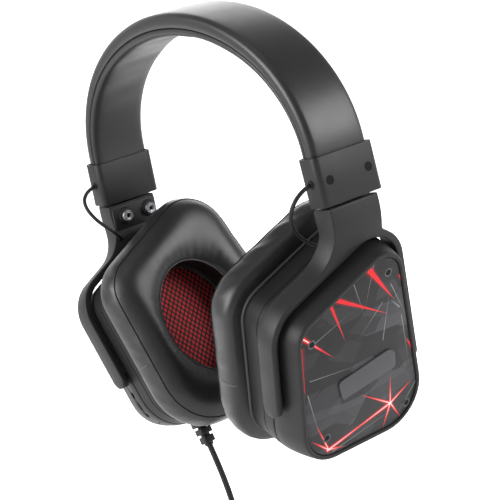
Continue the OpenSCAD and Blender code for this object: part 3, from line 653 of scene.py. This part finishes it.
# The pad is held where it is sewn to the cover and where the sleeves grip it
def isHeldOnPad(place):
    depth = padDepth(place)
    behind = abs(place.y) < band["heldAside"] * mm and depth < 0.25
    return behind or depth < 0.12 or place.z < band["heldBelow"] * mm

def makeBand(skins):
    stations = bandStations()
    finish(loft([bandSection(s, coverCorners()) for s in stations]), "bandCover", worldFrame, "right", "headband",
           skins["band"], ("band_cover",), smooth=50)
    pad = finish(loft([bandSection(s, padCorners()) for s in stations]), "bandPad", worldFrame, "right", None,
                 skins["pad"], ("band_pad",), smooth=60)
    puff(pad, [v.index for v in pad.data.vertices if isHeldOnPad(v.co)], band["puffCap"] * mm)
    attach(pad, "headband")

inflate = {"pressure": 4, "quality": 5, "frames": 20, "stretch": 12, "bend": 2}

# Cloth under pressure, held at its seams: fills a cushion out, and its result is kept in the mesh
def puff(piece, held, cap):
    rest = [v.co.copy() for v in piece.data.vertices]
    group = piece.vertex_groups.new(name="held")
    group.add(held, 1.0, "REPLACE")
    cloth = piece.modifiers.new("cloth", "CLOTH")
    cloth.settings.quality = inflate["quality"]
    cloth.settings.use_pressure = True
    cloth.settings.uniform_pressure_force = inflate["pressure"]
    cloth.settings.effector_weights.gravity = 0
    cloth.settings.vertex_group_mass = "held"
    cloth.settings.tension_stiffness = inflate["stretch"]
    cloth.settings.compression_stiffness = inflate["stretch"]
    cloth.settings.bending_stiffness = inflate["bend"]
    cloth.point_cache.frame_end = inflate["frames"]
    scene = bpy.context.scene
    for step in range(1, inflate["frames"] + 1):
        scene.frame_set(step)
    seen = piece.evaluated_get(bpy.context.evaluated_depsgraph_get()).data
    puffed = [v.co.copy() for v in seen.vertices]
    piece.modifiers.remove(cloth)
    scene.frame_set(1)
    for vertex, before, after in zip(piece.data.vertices, rest, puffed):
        move = after - before
        if move.length > cap:
            move *= cap / move.length
        vertex.co = before + move
    piece.vertex_groups.remove(group)
    piece.data.update()

def boxMesh(low, high):
    bm = bmesh.new()
    low, high = Vector(low), Vector(high)
    stretch = Matrix.Diagonal((*(high - low), 1))
    bmesh.ops.create_cube(bm, size=1, matrix=Matrix.Translation((low + high) / 2) @ stretch)
    return bm

# Sinks a face facing up or down: a rim of some thickness, then a recess
def sinkFace(bm, way, rim, depth):
    face = max(bm.faces, key=lambda f: f.normal.z * way * f.calc_area())
    bmesh.ops.inset_region(bm, faces=[face], thickness=rim, use_even_offset=True)
    made = bmesh.ops.extrude_face_region(bm, geom=[face])
    bmesh.ops.translate(bm, vec=(0, 0, -way * depth), verts=newVerts(made))
    bmesh.ops.delete(bm, geom=[face], context="FACES_ONLY")

def makeSleeve(side, skins):
    t, w = sleeve["thick"] / 2, sleeve["wide"] / 2
    bm = boxMesh((-t, -w, -sleeve["high"]), (t, w, 0))
    bevelAlong(bm, 2, sleeve["corner"], 7)
    sinkFace(bm, 1, sleeve["mouthWall"], sleeve["mouth"])
    sinkFace(bm, -1, sleeve["footWall"], sleeve["foot"])
    bevelEdges(bm, sleeve["edge"], 2, 60)
    ring = turned([(1.0, -0.6), (1.0, 0.5), (1.3, 0.75), (1.8, 0.7), (2.0, 0.35), (2.0, -0.6), (1.0, -0.6)], 28)
    bmesh.ops.rotate(ring, cent=(0, 0, 0), matrix=Matrix.Rotation(pi / 2, 3, "X"), verts=ring.verts)
    rows = (-sleeve["screwY"], sleeve["screwY"])
    up = sleeve["screwZ"]
    screws = [shifted(screwMesh(sleeve["screwRadius"], sleeve["socket"]), (t + sleeve["proud"], y, up))
              for y in rows]
    # near-black discs in the screw sockets: painted shade
    socketShades = [shifted(socketShadeDisc(), (t, y, up)) for y in rows]
    for made, name, skin, slot, nodes, smooth in (
            (bm, "sleeve_", "sleeve", "sleeve_plastic", ("sleeve_" + side,), 40),
            (joined(socketShades), "sleeveSocketShade_", "blackAndSocketShade", "black_screws", (), 35),
            (joined(screws), "sleeveScrews_", "blackAndSocketShade", "black_screws", ("sleeve_screws_" + side,), 30),
            (shifted(ring, (0, -w, -12)), "wireGrommet_", "rubber", "cord_rubber", (), 35)):
        finish(made, name + side, sleeveFrame, side, "headband", skins[skin], nodes, smooth)

# Near-black disc inside a screw's socket, just above the face that the screw sits in: painted shade that makes
# the socket read as a deep hole
def socketShadeDisc():
    return turned([(0, -0.1), (1.6, -0.1), (1.6, 0.1), (0, 0.1)], 24, "X")

# Screw head along X with a hexagon socket; its face is at 0
def screwMesh(radius, socket, sides=36):
    def hexReach(a):
        return socket * cos(pi / 6) / cos((a % (pi / 3)) - pi / 6)
    angles = [tau * k / sides for k in range(sides)]
    rings = [[(x, cos(a) * r, sin(a) * r) for a in angles]
             for x, r in ((-0.9, radius), (-0.28, radius), (-0.08, radius - 0.12), (0, radius - 0.35),
                          (0, radius * 0.8), (-0.12, radius * 0.72), (-0.12, socket + 0.25))]
    rings += [[(x, cos(a) * hexReach(a), sin(a) * hexReach(a)) for a in angles] for x in (-0.15, -1.3)]
    return loft(rings)

# In the cup's frame: gap and thick grow the cup's outline, and the neck leans in by the bend
yoke = {"gap": 4.8, "thick": 3.8, "inner": -10.7, "outer": 0.3, "pivot": -22, "tip": 5.5, "neckLow": -16,
        "neckHigh": 14.5, "neckTop": 71.1, "fillet": 22, "bendFrom": 54.4, "bendLength": 12,
        "bend": radians(22.7), "swell": 0.055, "edge": 0.8}

# Place on a straight side of the grown outline at a height
def sideAt(i, grow, v):
    a, b = rimCorners[i], rimCorners[(i + 1) % 4]
    out = edgeAngle(i)
    u0, v0 = a[0] + grow * cos(out), a[1] + grow * sin(out)
    u1, v1 = b[0] + grow * cos(out), b[1] + grow * sin(out)
    return u0 + (u1 - u0) * (v - v0) / (v1 - v0), v

# Outline of the flat yoke: up the back arm, round the fillet, over the neck, down the front arm and back inside
def yokeOutline():
    end = yoke["pivot"] - yoke["tip"] + 0.1
    gap, grow = yoke["gap"], yoke["gap"] + yoke["thick"]
    back, front = yoke["neckLow"], yoke["neckHigh"]
    slope = (edgeAngle(3) - pi / 2) % pi
    turn = pi / 2 - slope
    radius = yoke["fillet"]
    meet = (back - sideAt(3, grow, 0)[0]) * sin(slope) / cos(slope)
    centre = (back - radius, meet + radius * sin(turn / 2) / cos(turn / 2))
    fillet = [-turn * (1 - k / 10) for k in range(11)]
    outer = [sideAt(0, grow, end)] + cornerArc(0, grow, 12)[::-1]
    outer += [(centre[0] + radius * cos(a), centre[1] + radius * sin(a)) for a in fillet]
    outer += [(back, yoke["neckTop"]), (front, yoke["neckTop"]), (front, 57), (front + 0.15, 55.4),
              (front + 0.7, 54.3)]
    outer += [p for p in cornerArc(3, grow, 24)[::-1] if p[0] > front + 1.4] + [sideAt(2, grow, end)]
    inner = [sideAt(2, gap, end)] + cornerArc(3, gap, 16) + cornerArc(0, gap, 12) + [sideAt(0, gap, end)]
    return outer + inner

# Where a place of the flat yoke goes: the arms' ends are rounded, and the neck curves in towards the sleeve
def yokeBent(w, u, v):
    middle = (yoke["inner"] + yoke["outer"]) / 2
    drop = yoke["pivot"] - v
    past = v - yoke["bendFrom"]
    if drop > 0:
        w = middle + (w - middle) * max(0.12, sqrt(max(0, 1 - (drop / yoke["tip"]) ** 2)))
    if past > 0:
        curved = min(past, yoke["bendLength"])
        share = curved / yoke["bendLength"]
        angle = yoke["bend"] * share
        back = yoke["bendLength"] / yoke["bend"]
        off = (w - middle) * (1 + yoke["swell"] * share)
        straight = past - curved
        w = middle - back * (1 - cos(angle)) - straight * sin(angle) + off * cos(angle)
        v = yoke["bendFrom"] + back * sin(angle) + straight * cos(angle) + off * sin(angle)
    return w, u, v

def makeYoke(side, skins):
    bm = slab(yokeOutline(), yoke["inner"], yoke["outer"])
    bevelEdges(bm, yoke["edge"], 3, 50)
    cuts = [yoke["pivot"] - yoke["tip"] * sin(radians(a)) for a in (0, 15, 30, 45, 60, 72)]
    cuts += [yoke["bendFrom"] + k * 1.5 for k in range(11)]
    for v in cuts:
        bmesh.ops.bisect_plane(bm, geom=bm.verts[:] + bm.edges[:] + bm.faces[:], plane_co=(0, 0, v),
                               plane_no=(0, 0, 1), dist=1e-4)
    for vertex in bm.verts:
        vertex.co = yokeBent(*vertex.co)
    finish(bm, "yoke_" + side, cupFrame, side, "yoke_" + side, skins["yoke"], ("yoke_" + side,))
    makeClamp(side, skins)

clamp = {"face": -5.9, "thick": 1.5, "top": -25.4, "bottom": -40.5, "back": -15.4, "front": 13.5, "rivetZ": -31.5,
         "rivetY": (-7.5, 8), "bossRadius": 4.4, "bossHeight": 1.6, "headRadius": 3.3}

def makeClamp(side, skins):
    plate = boxMesh((clamp["face"] - clamp["thick"], clamp["back"], clamp["bottom"]),
                    (clamp["face"] + 0.2, clamp["front"], clamp["top"]))
    bevelAlong(plate, 0, 1.2, 3)
    bevelEdges(plate, 0.35, 2, 50)
    seat = clamp["face"] - clamp["thick"]
    r = clamp["bossRadius"]
    bosses = []
    rivets = []
    for y in clamp["rivetY"]:
        boss = turned([(0, 0.3), (r + 0.5, 0.3), (r + 0.35, -0.15), (r, -0.5), (r, -1.3), (r - 0.3, -1.6),
                       (0, -1.6)], 40, "X")
        bosses.append(shifted(boss, (seat, y, clamp["rivetZ"])))
        h = clamp["headRadius"]
        head = turned([(1.1, 2), (1.1, -1.2), (1.3, -1.6), (1.75, -1.75), (2.05, -1.62), (2.2, -1.45),
                       (2.4, -1.55), (2.75, -1.55), (3.1, -1.3), (h, -0.7), (h, 0), (1.1, 2)], 40, "X")
        rivets.append(shifted(head, (seat - clamp["bossHeight"], y, clamp["rivetZ"])))
    finish(joined([plate] + bosses), "clampPlate_" + side, sleeveFrame, side, "yoke_" + side, skins["clamp"],
           ("clamp_plate_" + side,))
    finish(joined(rivets), "clampRivets_" + side, sleeveFrame, side, "yoke_" + side, skins["rivet"],
           ("clamp_rivets_" + side,))

# Profiles are rings round a cup's outline: (outwards along the cup's axis, growth of the outline)
outerProfile = [
    (-9.5, 3.0), (-9.3, 3.35), (-8.8, 3.5), (-4, 3.0), (0, 2.4), (4, 1.6), (7, 0.75), (8.2, 0.45), (8.75, 0.1),
    (8.95, -0.35), (9, -0.8), (9, -1.5), (8.8, -1.85), (8.3, -2.1), (6, -2.2), (3.8, -2.3), (3.8, -1.2), (0, 0.4),
    (-9.5, 1.3)]
innerProfile = [
    (-9.9, 2.7), (-10.05, 3.2), (-10.5, 3.45), (-17, 3.05), (-17.2, 2.75), (-17.6, 2.75), (-17.8, 3.0),
    (-26.8, 2.3), (-27.6, 2.1), (-28, 1.6), (-28, 0.2), (-9.9, 1.2)]
lipProfile = [(-28.05, 1), (-28.05, 2.6), (-28.3, 2.95), (-29.7, 2.95), (-29.95, 2.6), (-29.95, 1)]
seamProfile = [(-9.5, 2.4), (-9.9, 2.4), (-9.9, 1.3), (-9.5, 1.3)]
cover = {"seat": 6.2, "face": 8.3, "grow": -2.32, "screwRadius": 2.4, "socket": 1.15, "proud": 0.22,
         "screws": [(11.4, 35.7), (-36.5, 14), (28.4, -44.4), (-25.3, -42.7)]}
badge = {"corners": [(-19.4, -13.6), (-16.4, -24.7), (18.8, -18.9), (17.8, -9.8), (13.9, -7.2)], "thick": 0.9,
         "sunk": 0.2, "round": 2.2, "edge": 0.28}

# Closed ring round the cup with a profile's section
def profileRing(profile):
    return loft([ringAt(w, grow) for w, grow in profile], closed=True)

# Directions round the ear's centre, evenly spread
earSteps = 120
directions = [tau * k / earSteps for k in range(earSteps)]

# Rings from the back round the outside: the profile grows the outline, the crown's share goes from the outline
# to the opening, and the wall grows the opening. The seams are on these rings and directions.
cushion = {"profile": [(-30.2, 5.2), (-30.9, 7.6), (-32.6, 9.2), (-35.8, 9.8), (-39.6, 9.6), (-43.2, 8.9),
                       (-46.2, 7.4), (-48.8, 5.1), (-51.0, 2.2)],
           "crown": [(-52.2, 0.1), (-52.5, 0.3), (-52.3, 0.52), (-51.5, 0.72), (-50.2, 0.88), (-48.9, 0.97)],
           "wall": [(-47.6, 0.0), (-45, 0.9), (-41, 1.7), (-36, 1.9), (-31, 1.2), (-30.2, 0.6)],
           "crownEdge": 0.4, "sideSeam": 6, "openingSeam": 15, "panelSeam": 66, "heldBehind": -30.6,
           "heldRim": 0.35, "puffCap": 1.1}

# One ring about the ear's centre, at a distance that depends on the direction
def earRing(w, distance):
    return [(w, ear["u"] + distance(a) * cos(a), ear["v"] + distance(a) * sin(a)) for a in directions]

def cushionRings():
    rings = []
    for w, grow in cushion["profile"]:
        outline = cupOutline(grow)
        rings.append(earRing(w, lambda a: reach(a, outline)))
    edge = cupOutline(cushion["crownEdge"])
    for w, share in cushion["crown"]:
        rings.append(earRing(w, lambda a: reach(a, edge) + (earEllipse(a) - reach(a, edge)) * share))
    for w, grow in cushion["wall"]:
        rings.append(earRing(w, lambda a: earEllipse(a, grow)))
    return rings

# A finished vertex in its cup's frame: place along the axis, direction and distance from the ear's centre
def cupPlaces(piece, side):
    inward = cupFrame.inverted() @ (mirrored if side == "left" else Matrix.Identity(4))
    for vertex in piece.data.vertices:
        w, u, v = inward @ vertex.co
        yield vertex, w, atan2(v - ear["v"], u - ear["u"]), sqrt((u - ear["u"]) ** 2 + (v - ear["v"]) ** 2)

# Small folds: shallow slanting waves of the leatherette over the soft foam, deepest beside the seam
def crease(piece, side):
    piece.data.update()
    moves = []
    for vertex, w, angle, distance in cupPlaces(piece, side):
        r = distance / earEllipse(angle)
        seam = max(0, 1 - abs(r - 1.12) / 0.3) if w < -46 else 0
        flank = max(0, 1 - abs(w + 41) / 7.5) if r > 1.4 else 0
        wave = noise.noise(Vector((angle * 7 + w * 0.10, r * 1.6, 3.1)))
        fine = noise.noise(Vector((angle * 17 + w * 0.16, r * 2.5, 8.7)))
        ripple = sin(angle * 46 + 2.2 * noise.noise(Vector((angle * 5, 0.5, 1.7))))
        depth = seam * (0.26 * wave + 0.14 * fine + 0.06 * ripple) + flank * (0.75 * wave + 0.22 * fine)
        moves.append(depth * mm)
    for vertex, move in zip(piece.data.vertices, moves):
        vertex.co = vertex.co + vertex.normal * move
    piece.data.update()

def makeCushion(side, skins):
    piece = finishOnCup(loft(cushionRings(), closed=True), "earCushion", side, skins["ear"],
                        ["ear_cushion"], smooth=180)
    held = [vertex.index for vertex, w, angle, distance in cupPlaces(piece, side)
            if w > cushion["heldBehind"] or abs(distance - earEllipse(angle)) < cushion["heldRim"]]
    puff(piece, held, cushion["puffCap"] * mm)
    finer(piece)
    crease(piece, side)
    for name, radius, skin in (("sideSeam", 0.38, "blackAndSocketShade"), ("openingSeam", 0.42, "seam")):
        makeSeam(piece, [(cushion[name], k) for k in range(earSteps)], radius, name, side, skins[skin])
    makeSeam(piece, [(ring, cushion["panelSeam"]) for ring in range(1, cushion["sideSeam"])], 0.32, "panelSeam",
             side, skins["seam"])

# Thread along a cushion's own grid of (ring, direction) places, closed where it goes all the way round
def makeSeam(piece, places, radius, name, side, skin):
    path = [piece.data.vertices[ring * earSteps + k].co / mm for ring, k in places]
    closed = len(places) == earSteps
    if not closed:
        path = polyCurve(path)
    finish(tube(path, radius, 8, closed=closed, ref=Vector((1, 0, 0))), name + "_" + side, worldFrame, "right",
           "cup_" + side, skin, smooth=180)

# One level of subdivision, kept in the mesh
def finer(piece):
    bm = bmesh.new()
    bm.from_mesh(piece.data)
    bmesh.ops.subdivide_edges(bm, edges=bm.edges, cuts=1, smooth=0.6, use_grid_fill=True)
    bm.to_mesh(piece.data)
    bm.free()
    piece.data.shade_smooth()

speakerCloth = {"w": -27.7, "dome": 0.5, "thick": 0.4, "shares": (0.2, 0.4, 0.6, 0.8, 0.92, 1.0)}

# Cloth over the speaker: rings out to the border under the cushion, slightly domed towards the ear
def makeSpeakerCloth(side, skins):
    bm = bmesh.new()
    rings = []
    for share in speakerCloth["shares"]:
        w = speakerCloth["w"] - speakerCloth["dome"] * (1 - share ** 2)
        ring = earRing(w, lambda a: earEllipse(a, ear["border"]) * share)
        rings.append([bm.verts.new(place) for place in ring[::2]])
    centre = bm.verts.new((speakerCloth["w"], ear["u"], ear["v"]))
    first = rings[0]
    for k in range(len(first)):
        bm.faces.new((centre, first[k - 1], first[k]))
    for inner, outer in zip(rings, rings[1:]):
        for k in range(len(inner)):
            bm.faces.new((inner[k - 1], outer[k - 1], outer[k], inner[k]))
    bmesh.ops.solidify(bm, geom=bm.faces[:], thickness=speakerCloth["thick"])
    cloth = finishOnCup(bm, "speakerCloth", side, skins["cloth" + side], ["speaker_cloth"],
                        smooth=60)

# Screw heads on the plate, with near-black discs of painted shade in their sockets
def makeCoverScrews(side, skins):
    heads = [shifted(screwMesh(cover["screwRadius"], cover["socket"]), (cover["face"] + cover["proud"], u, v))
             for u, v in cover["screws"]]
    socketShades = [shifted(socketShadeDisc(), (cover["face"], u, v)) for u, v in cover["screws"]]
    finishOnCup(joined(heads), "coverScrews", side, skins["screwRing"], ["cover_screws"],
                smooth=30)
    finishOnCup(joined(socketShades), "screwSocketShade", side, skins["blackAndSocketShade"], smooth=35)

def makeCup(side, skins):
    outer = finishOnCup(profileRing(outerProfile), "outerHousing", side, skins["housing"],
                        ["outer_housing"])
    if side == "left":
        cutSlit(outer)
    finishOnCup(profileRing(seamProfile), "housingSeam", side, skins["rim"])
    finishOnCup(profileRing(innerProfile), "innerHousing", side, skins["inner"],
                ["inner_housing"])
    finishOnCup(profileRing(lipProfile), "lipRing", side, skins["lip"], ["cushion_ring"])
    face, grow = cover["face"], cover["grow"]
    steps = ((cover["seat"], 0), (face - 0.3, 0), (face - 0.08, 0.09), (face, 0.3))
    finishOnCup(loft([ringAt(w, grow - inset) for w, inset in steps]), "coverPlate", side, skins["plate" + side],
                ["cover_plate"], smooth=30)
    raised = slab(badge["corners"], face - badge["sunk"], face + badge["thick"])
    bevelAlong(raised, 0, badge["round"], 6)
    bevelEdges(raised, badge["edge"], 3, 60)
    finishOnCup(raised, "coverBadge", side, skins["badge"], ["cover_badge"], smooth=30)
    makeCoverScrews(side, skins)
    makeSpeakerCloth(side, skins)
    makeCushion(side, skins)

wheel = {"w": -2, "u": -34.2, "v": -37.9, "radius": 9, "thick": 2.2, "way": 191, "ribs": 54,
         "marks": ((-10.6, 0.5), (10.6, 0.75)), "markGrow": 2.72}

# Frame whose x is the cup's axis, y points out through the slit and z runs along the slit
def wheelFrame():
    spin = Matrix.Rotation(radians(wheel["way"]), 4, "X")
    return Matrix.Translation((wheel["w"], wheel["u"], wheel["v"])) @ spin

# Cuts the wheel's slit through the left cup's housing
def cutSlit(housing):
    cutter = boxMesh((-1.6, 3, -8.4), (1.6, 13, 8.4))
    bevelAlong(cutter, 1, 1.2, 4)
    bmesh.ops.transform(cutter, matrix=wheelFrame(), verts=cutter.verts)
    tool = finish(cutter, "slitTool", cupFrame, "left", None, housing.data.materials[0])
    cut = housing.modifiers.new("slit", "BOOLEAN")
    cut.operation = "DIFFERENCE"
    cut.solver = "EXACT"
    cut.object = tool
    seen = housing.evaluated_get(bpy.context.evaluated_depsgraph_get())
    opened = bpy.data.meshes.new_from_object(seen)
    housing.modifiers.remove(cut)
    housing.data = opened
    bpy.data.objects.remove(tool)

def makeWheel(skins):
    rings = []
    count = wheel["ribs"] * 4
    half = wheel["thick"] / 2
    for x, fall, rib in ((-half, 0.5, 0), (-half + 0.3, 0.1, 0.2), (-half + 0.45, 0, 0.3), (half - 0.45, 0, 0.3),
                         (half - 0.3, 0.1, 0.2), (half, 0.5, 0)):
        ring = []
        for k in range(count):
            a = tau * k / count
            r = wheel["radius"] - fall - (rib if k % 4 in (2, 3) else 0)
            ring.append((x, cos(a) * r, sin(a) * r))
        rings.append(ring)
    bm = loft(rings)
    bmesh.ops.transform(bm, matrix=wheelFrame(), verts=bm.verts)
    finish(bm, "volumeWheel", cupFrame, "left", "wheel", skins["wheel"], ("volume_wheel",),
           smooth=30)
    makeSlitMarks(skins)

# A small and a large raised dot past the slit's ends, for less and more
def makeSlitMarks(skins):
    dots = []
    outline = cupOutline(wheel["markGrow"])
    for z, r in wheel["marks"]:
        spot = wheelFrame() @ Vector((0, 0, z))
        near = min(outline, key=lambda p: (p[0] - spot.y) ** 2 + (p[1] - spot.z) ** 2)
        ball = turned([(0, -0.4), (r, -0.4), (r * 0.9, 0.1), (r * 0.5, 0.32), (0, 0.38)], 20)
        outwards = Matrix.Rotation(pi / 2 + radians(wheel["way"] - 90), 3, "X")
        bmesh.ops.rotate(ball, cent=(0, 0, 0), matrix=outwards, verts=ball.verts)
        dots.append(shifted(ball, (wheel["w"], near[0], near[1])))
    finish(joined(dots), "slitMarks", cupFrame, "left", "cup_left", skins["lip"], smooth=60)

# Both entries under the left cup: forward places, and each block of the strain relief as (low, high, half width)
entry = {"w": -13.5, "cord": -18, "microphone": -0.5,
         "blocks": ((-63.6, -59.6, 4.2), (-68.1, -64.7, 3.8), (-73.3, -69.3, 3.4))}

def makeCordEntry(skins):
    w, u = entry["w"], entry["cord"]
    blocks = []
    for low, high, half in entry["blocks"]:
        block = boxMesh((w - half, u - half, low), (w + half, u + half, high))
        bevelAlong(block, 2, 1.3, 4)
        bevelEdges(block, 0.45, 3, 50)
        blocks.append(block)
    core = turned([(0, -75), (2.05, -75), (2.45, -74.6), (2.6, -73.6), (2.6, -60), (2.6, -55), (4.4, -55),
                   (4.4, -54.2), (0, -54.2)], 32)
    blocks.append(shifted(core, (w, u, 0)))
    finish(joined(blocks), "strainRelief", cupFrame, "left", "cup_left", skins["rubber"],
           ("strain_relief",))
    stopper = turned([(0, -62.9), (3.6, -62.9), (4.3, -62.7), (4.6, -62.2), (4.6, -60.6), (4.4, -60.2),
                      (3.5, -60), (3.5, -56), (0, -56)], 44)
    collar = turned([(4.8, -59), (4.8, -62.0), (5.0, -62.5), (5.6, -62.7), (6.2, -62.5), (6.4, -62), (6.4, -59),
                     (4.8, -59)], 48)
    finish(joined([shifted(part, (w, entry["microphone"], 0)) for part in (stopper, collar)]), "micGrommet",
           cupFrame, "left", "cup_left", skins["rubber"], ("mic_grommet",))

# From the sleeve's grommet out, round and back to the yoke's neck, on the right side
linkRoute = [
    (95.6, -17, -76), (95.6, -20, -76.2), (95.4, -24, -77.5), (94.5, -27.5, -80), (92.8, -29.3, -83.2),
    (90.6, -29.6, -86.6), (88.4, -28.8, -90.2), (86.3, -27, -94), (84.6, -24.3, -97.8), (83.8, -21.2, -101.3),
    (84.6, -18.4, -104.2), (86.3, -16.2, -106.4), (88.2, -14.6, -107.8)]

wireRadius = 1.0

def makeLink(side, skins):
    wire = finish(tube(polyCurve([Vector(p) for p in linkRoute]), wireRadius, 12), "linkWire_" + side, worldFrame,
                  side, None, skins["rubber"], ("link_wire_" + side,), smooth=60)
    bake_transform(wire)

# Fine CAD nodes that stay as they are, with the finished materials
def dressKept(skins):
    kept = {"band_spring": "steel", "volume_potentiometer": "blackAndSocketShade", "circuit_board": "board",
            "mic_socket": "gold"}
    for side in sides:
        kept.update({"slider_strip_" + side: "steel", "slider_guide_" + side: "blackAndSocketShade",
                     "pivot_pins_" + side: "rivet", "speaker_frame_" + side: "inner",
                     "speaker_magnet_" + side: "rivet", "speaker_diaphragm_" + side: "film"})
    for name, skin in kept.items():
        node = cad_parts[name]
        node.data.materials.clear()
        node.data.materials.append(skins[skin])

room = {"paper": "#f6f6f6", "sky": "#ffffff", "strength": 0.4, "floor": -0.395, "near": -6, "far": 3, "bend": 1.0,
        "high": 4, "wide": 14, "dim": 0.1, "glow": 0.8, "glowFrom": 0.0, "glowTo": 0.35}

# White paper sweep: flat under the headset, curving up behind it, and glowing from glowTo metres behind it on
def makeRoom():
    bpy.context.scene.view_settings.view_transform = "Standard"
    world = bpy.data.worlds.new("room")
    bpy.context.scene.world = world
    world.use_nodes = True
    back = world.node_tree.nodes["Background"]
    back.inputs["Color"].default_value = toLinear(room["sky"])
    # white where it is seen directly, dimmer as a light on the headset
    seen = addNode(world.node_tree, "ShaderNodeLightPath").outputs["Is Camera Ray"]
    strength = addNode(world.node_tree, "ShaderNodeMapRange", inputs={"To Min": room["strength"], "To Max": 1},
                       links={"Value": seen})
    world.node_tree.links.new(strength.outputs[0], back.inputs["Strength"])
    line = [(room["near"], 0), (room["far"], 0)]
    line += [(room["far"] + room["bend"] * sin(radians(a)), room["bend"] * (1 - cos(radians(a))))
             for a in range(10, 91, 10)]
    line.append((room["far"] + room["bend"], room["high"]))
    bm = bmesh.new()
    strip = [bm.verts.new((-room["wide"] / 2, y, z)) for y, z in line]
    edges = [bm.edges.new(pair) for pair in zip(strip, strip[1:])]
    made = bmesh.ops.extrude_edge_only(bm, edges=edges)
    bmesh.ops.translate(bm, vec=(room["wide"], 0, 0), verts=newVerts(made))
    mesh = bpy.data.meshes.new("sweep")
    bm.to_mesh(mesh)
    bm.free()
    mesh.shade_smooth()
    material, tree, shader = newMaterial("whitePaper", **{"Base Color": toLinear(room["paper"]), "Roughness": 0.9,
                                                          "Emission Color": (1, 1, 1, 1)})
    where = addNode(tree, "ShaderNodeTexCoord").outputs["Object"]
    parts = addNode(tree, "ShaderNodeSeparateXYZ", links={"Vector": where})
    glow = addNode(tree, "ShaderNodeMapRange", {"interpolation_type": "SMOOTHSTEP"},
                   {"From Min": room["glowFrom"], "From Max": room["glowTo"], "To Min": room["dim"],
                    "To Max": room["glow"]}, {"Value": parts.outputs["Y"]})
    tree.links.new(glow.outputs[0], shader.inputs["Emission Strength"])
    mesh.materials.append(material)
    sweep = bpy.data.objects.new("sweep", mesh)
    down = Matrix.Translation((0, 0, room["floor"]))
    sweep.matrix_world = down @ Matrix.Rotation(radians(view["azimuth"]), 4, "Z")
    bpy.context.scene.collection.objects.link(sweep)

makeCamera()
makeLights()
makeRoom()
skins = makeMaterials()
print("stage: camera, lights and materials are ready")
makeCord(skins)
print("stage: the cord, its coil and its plug are made")
makeBand(skins)
for side in sides:
    makeSleeve(side, skins)
    makeYoke(side, skins)
    makeLink(side, skins)
print("stage: the headband, sleeves and yokes are made")
for side in sides:
    makeCup(side, skins)
makeWheel(skins)
makeCordEntry(skins)
dressKept(skins)
print("stage: the cups are made")
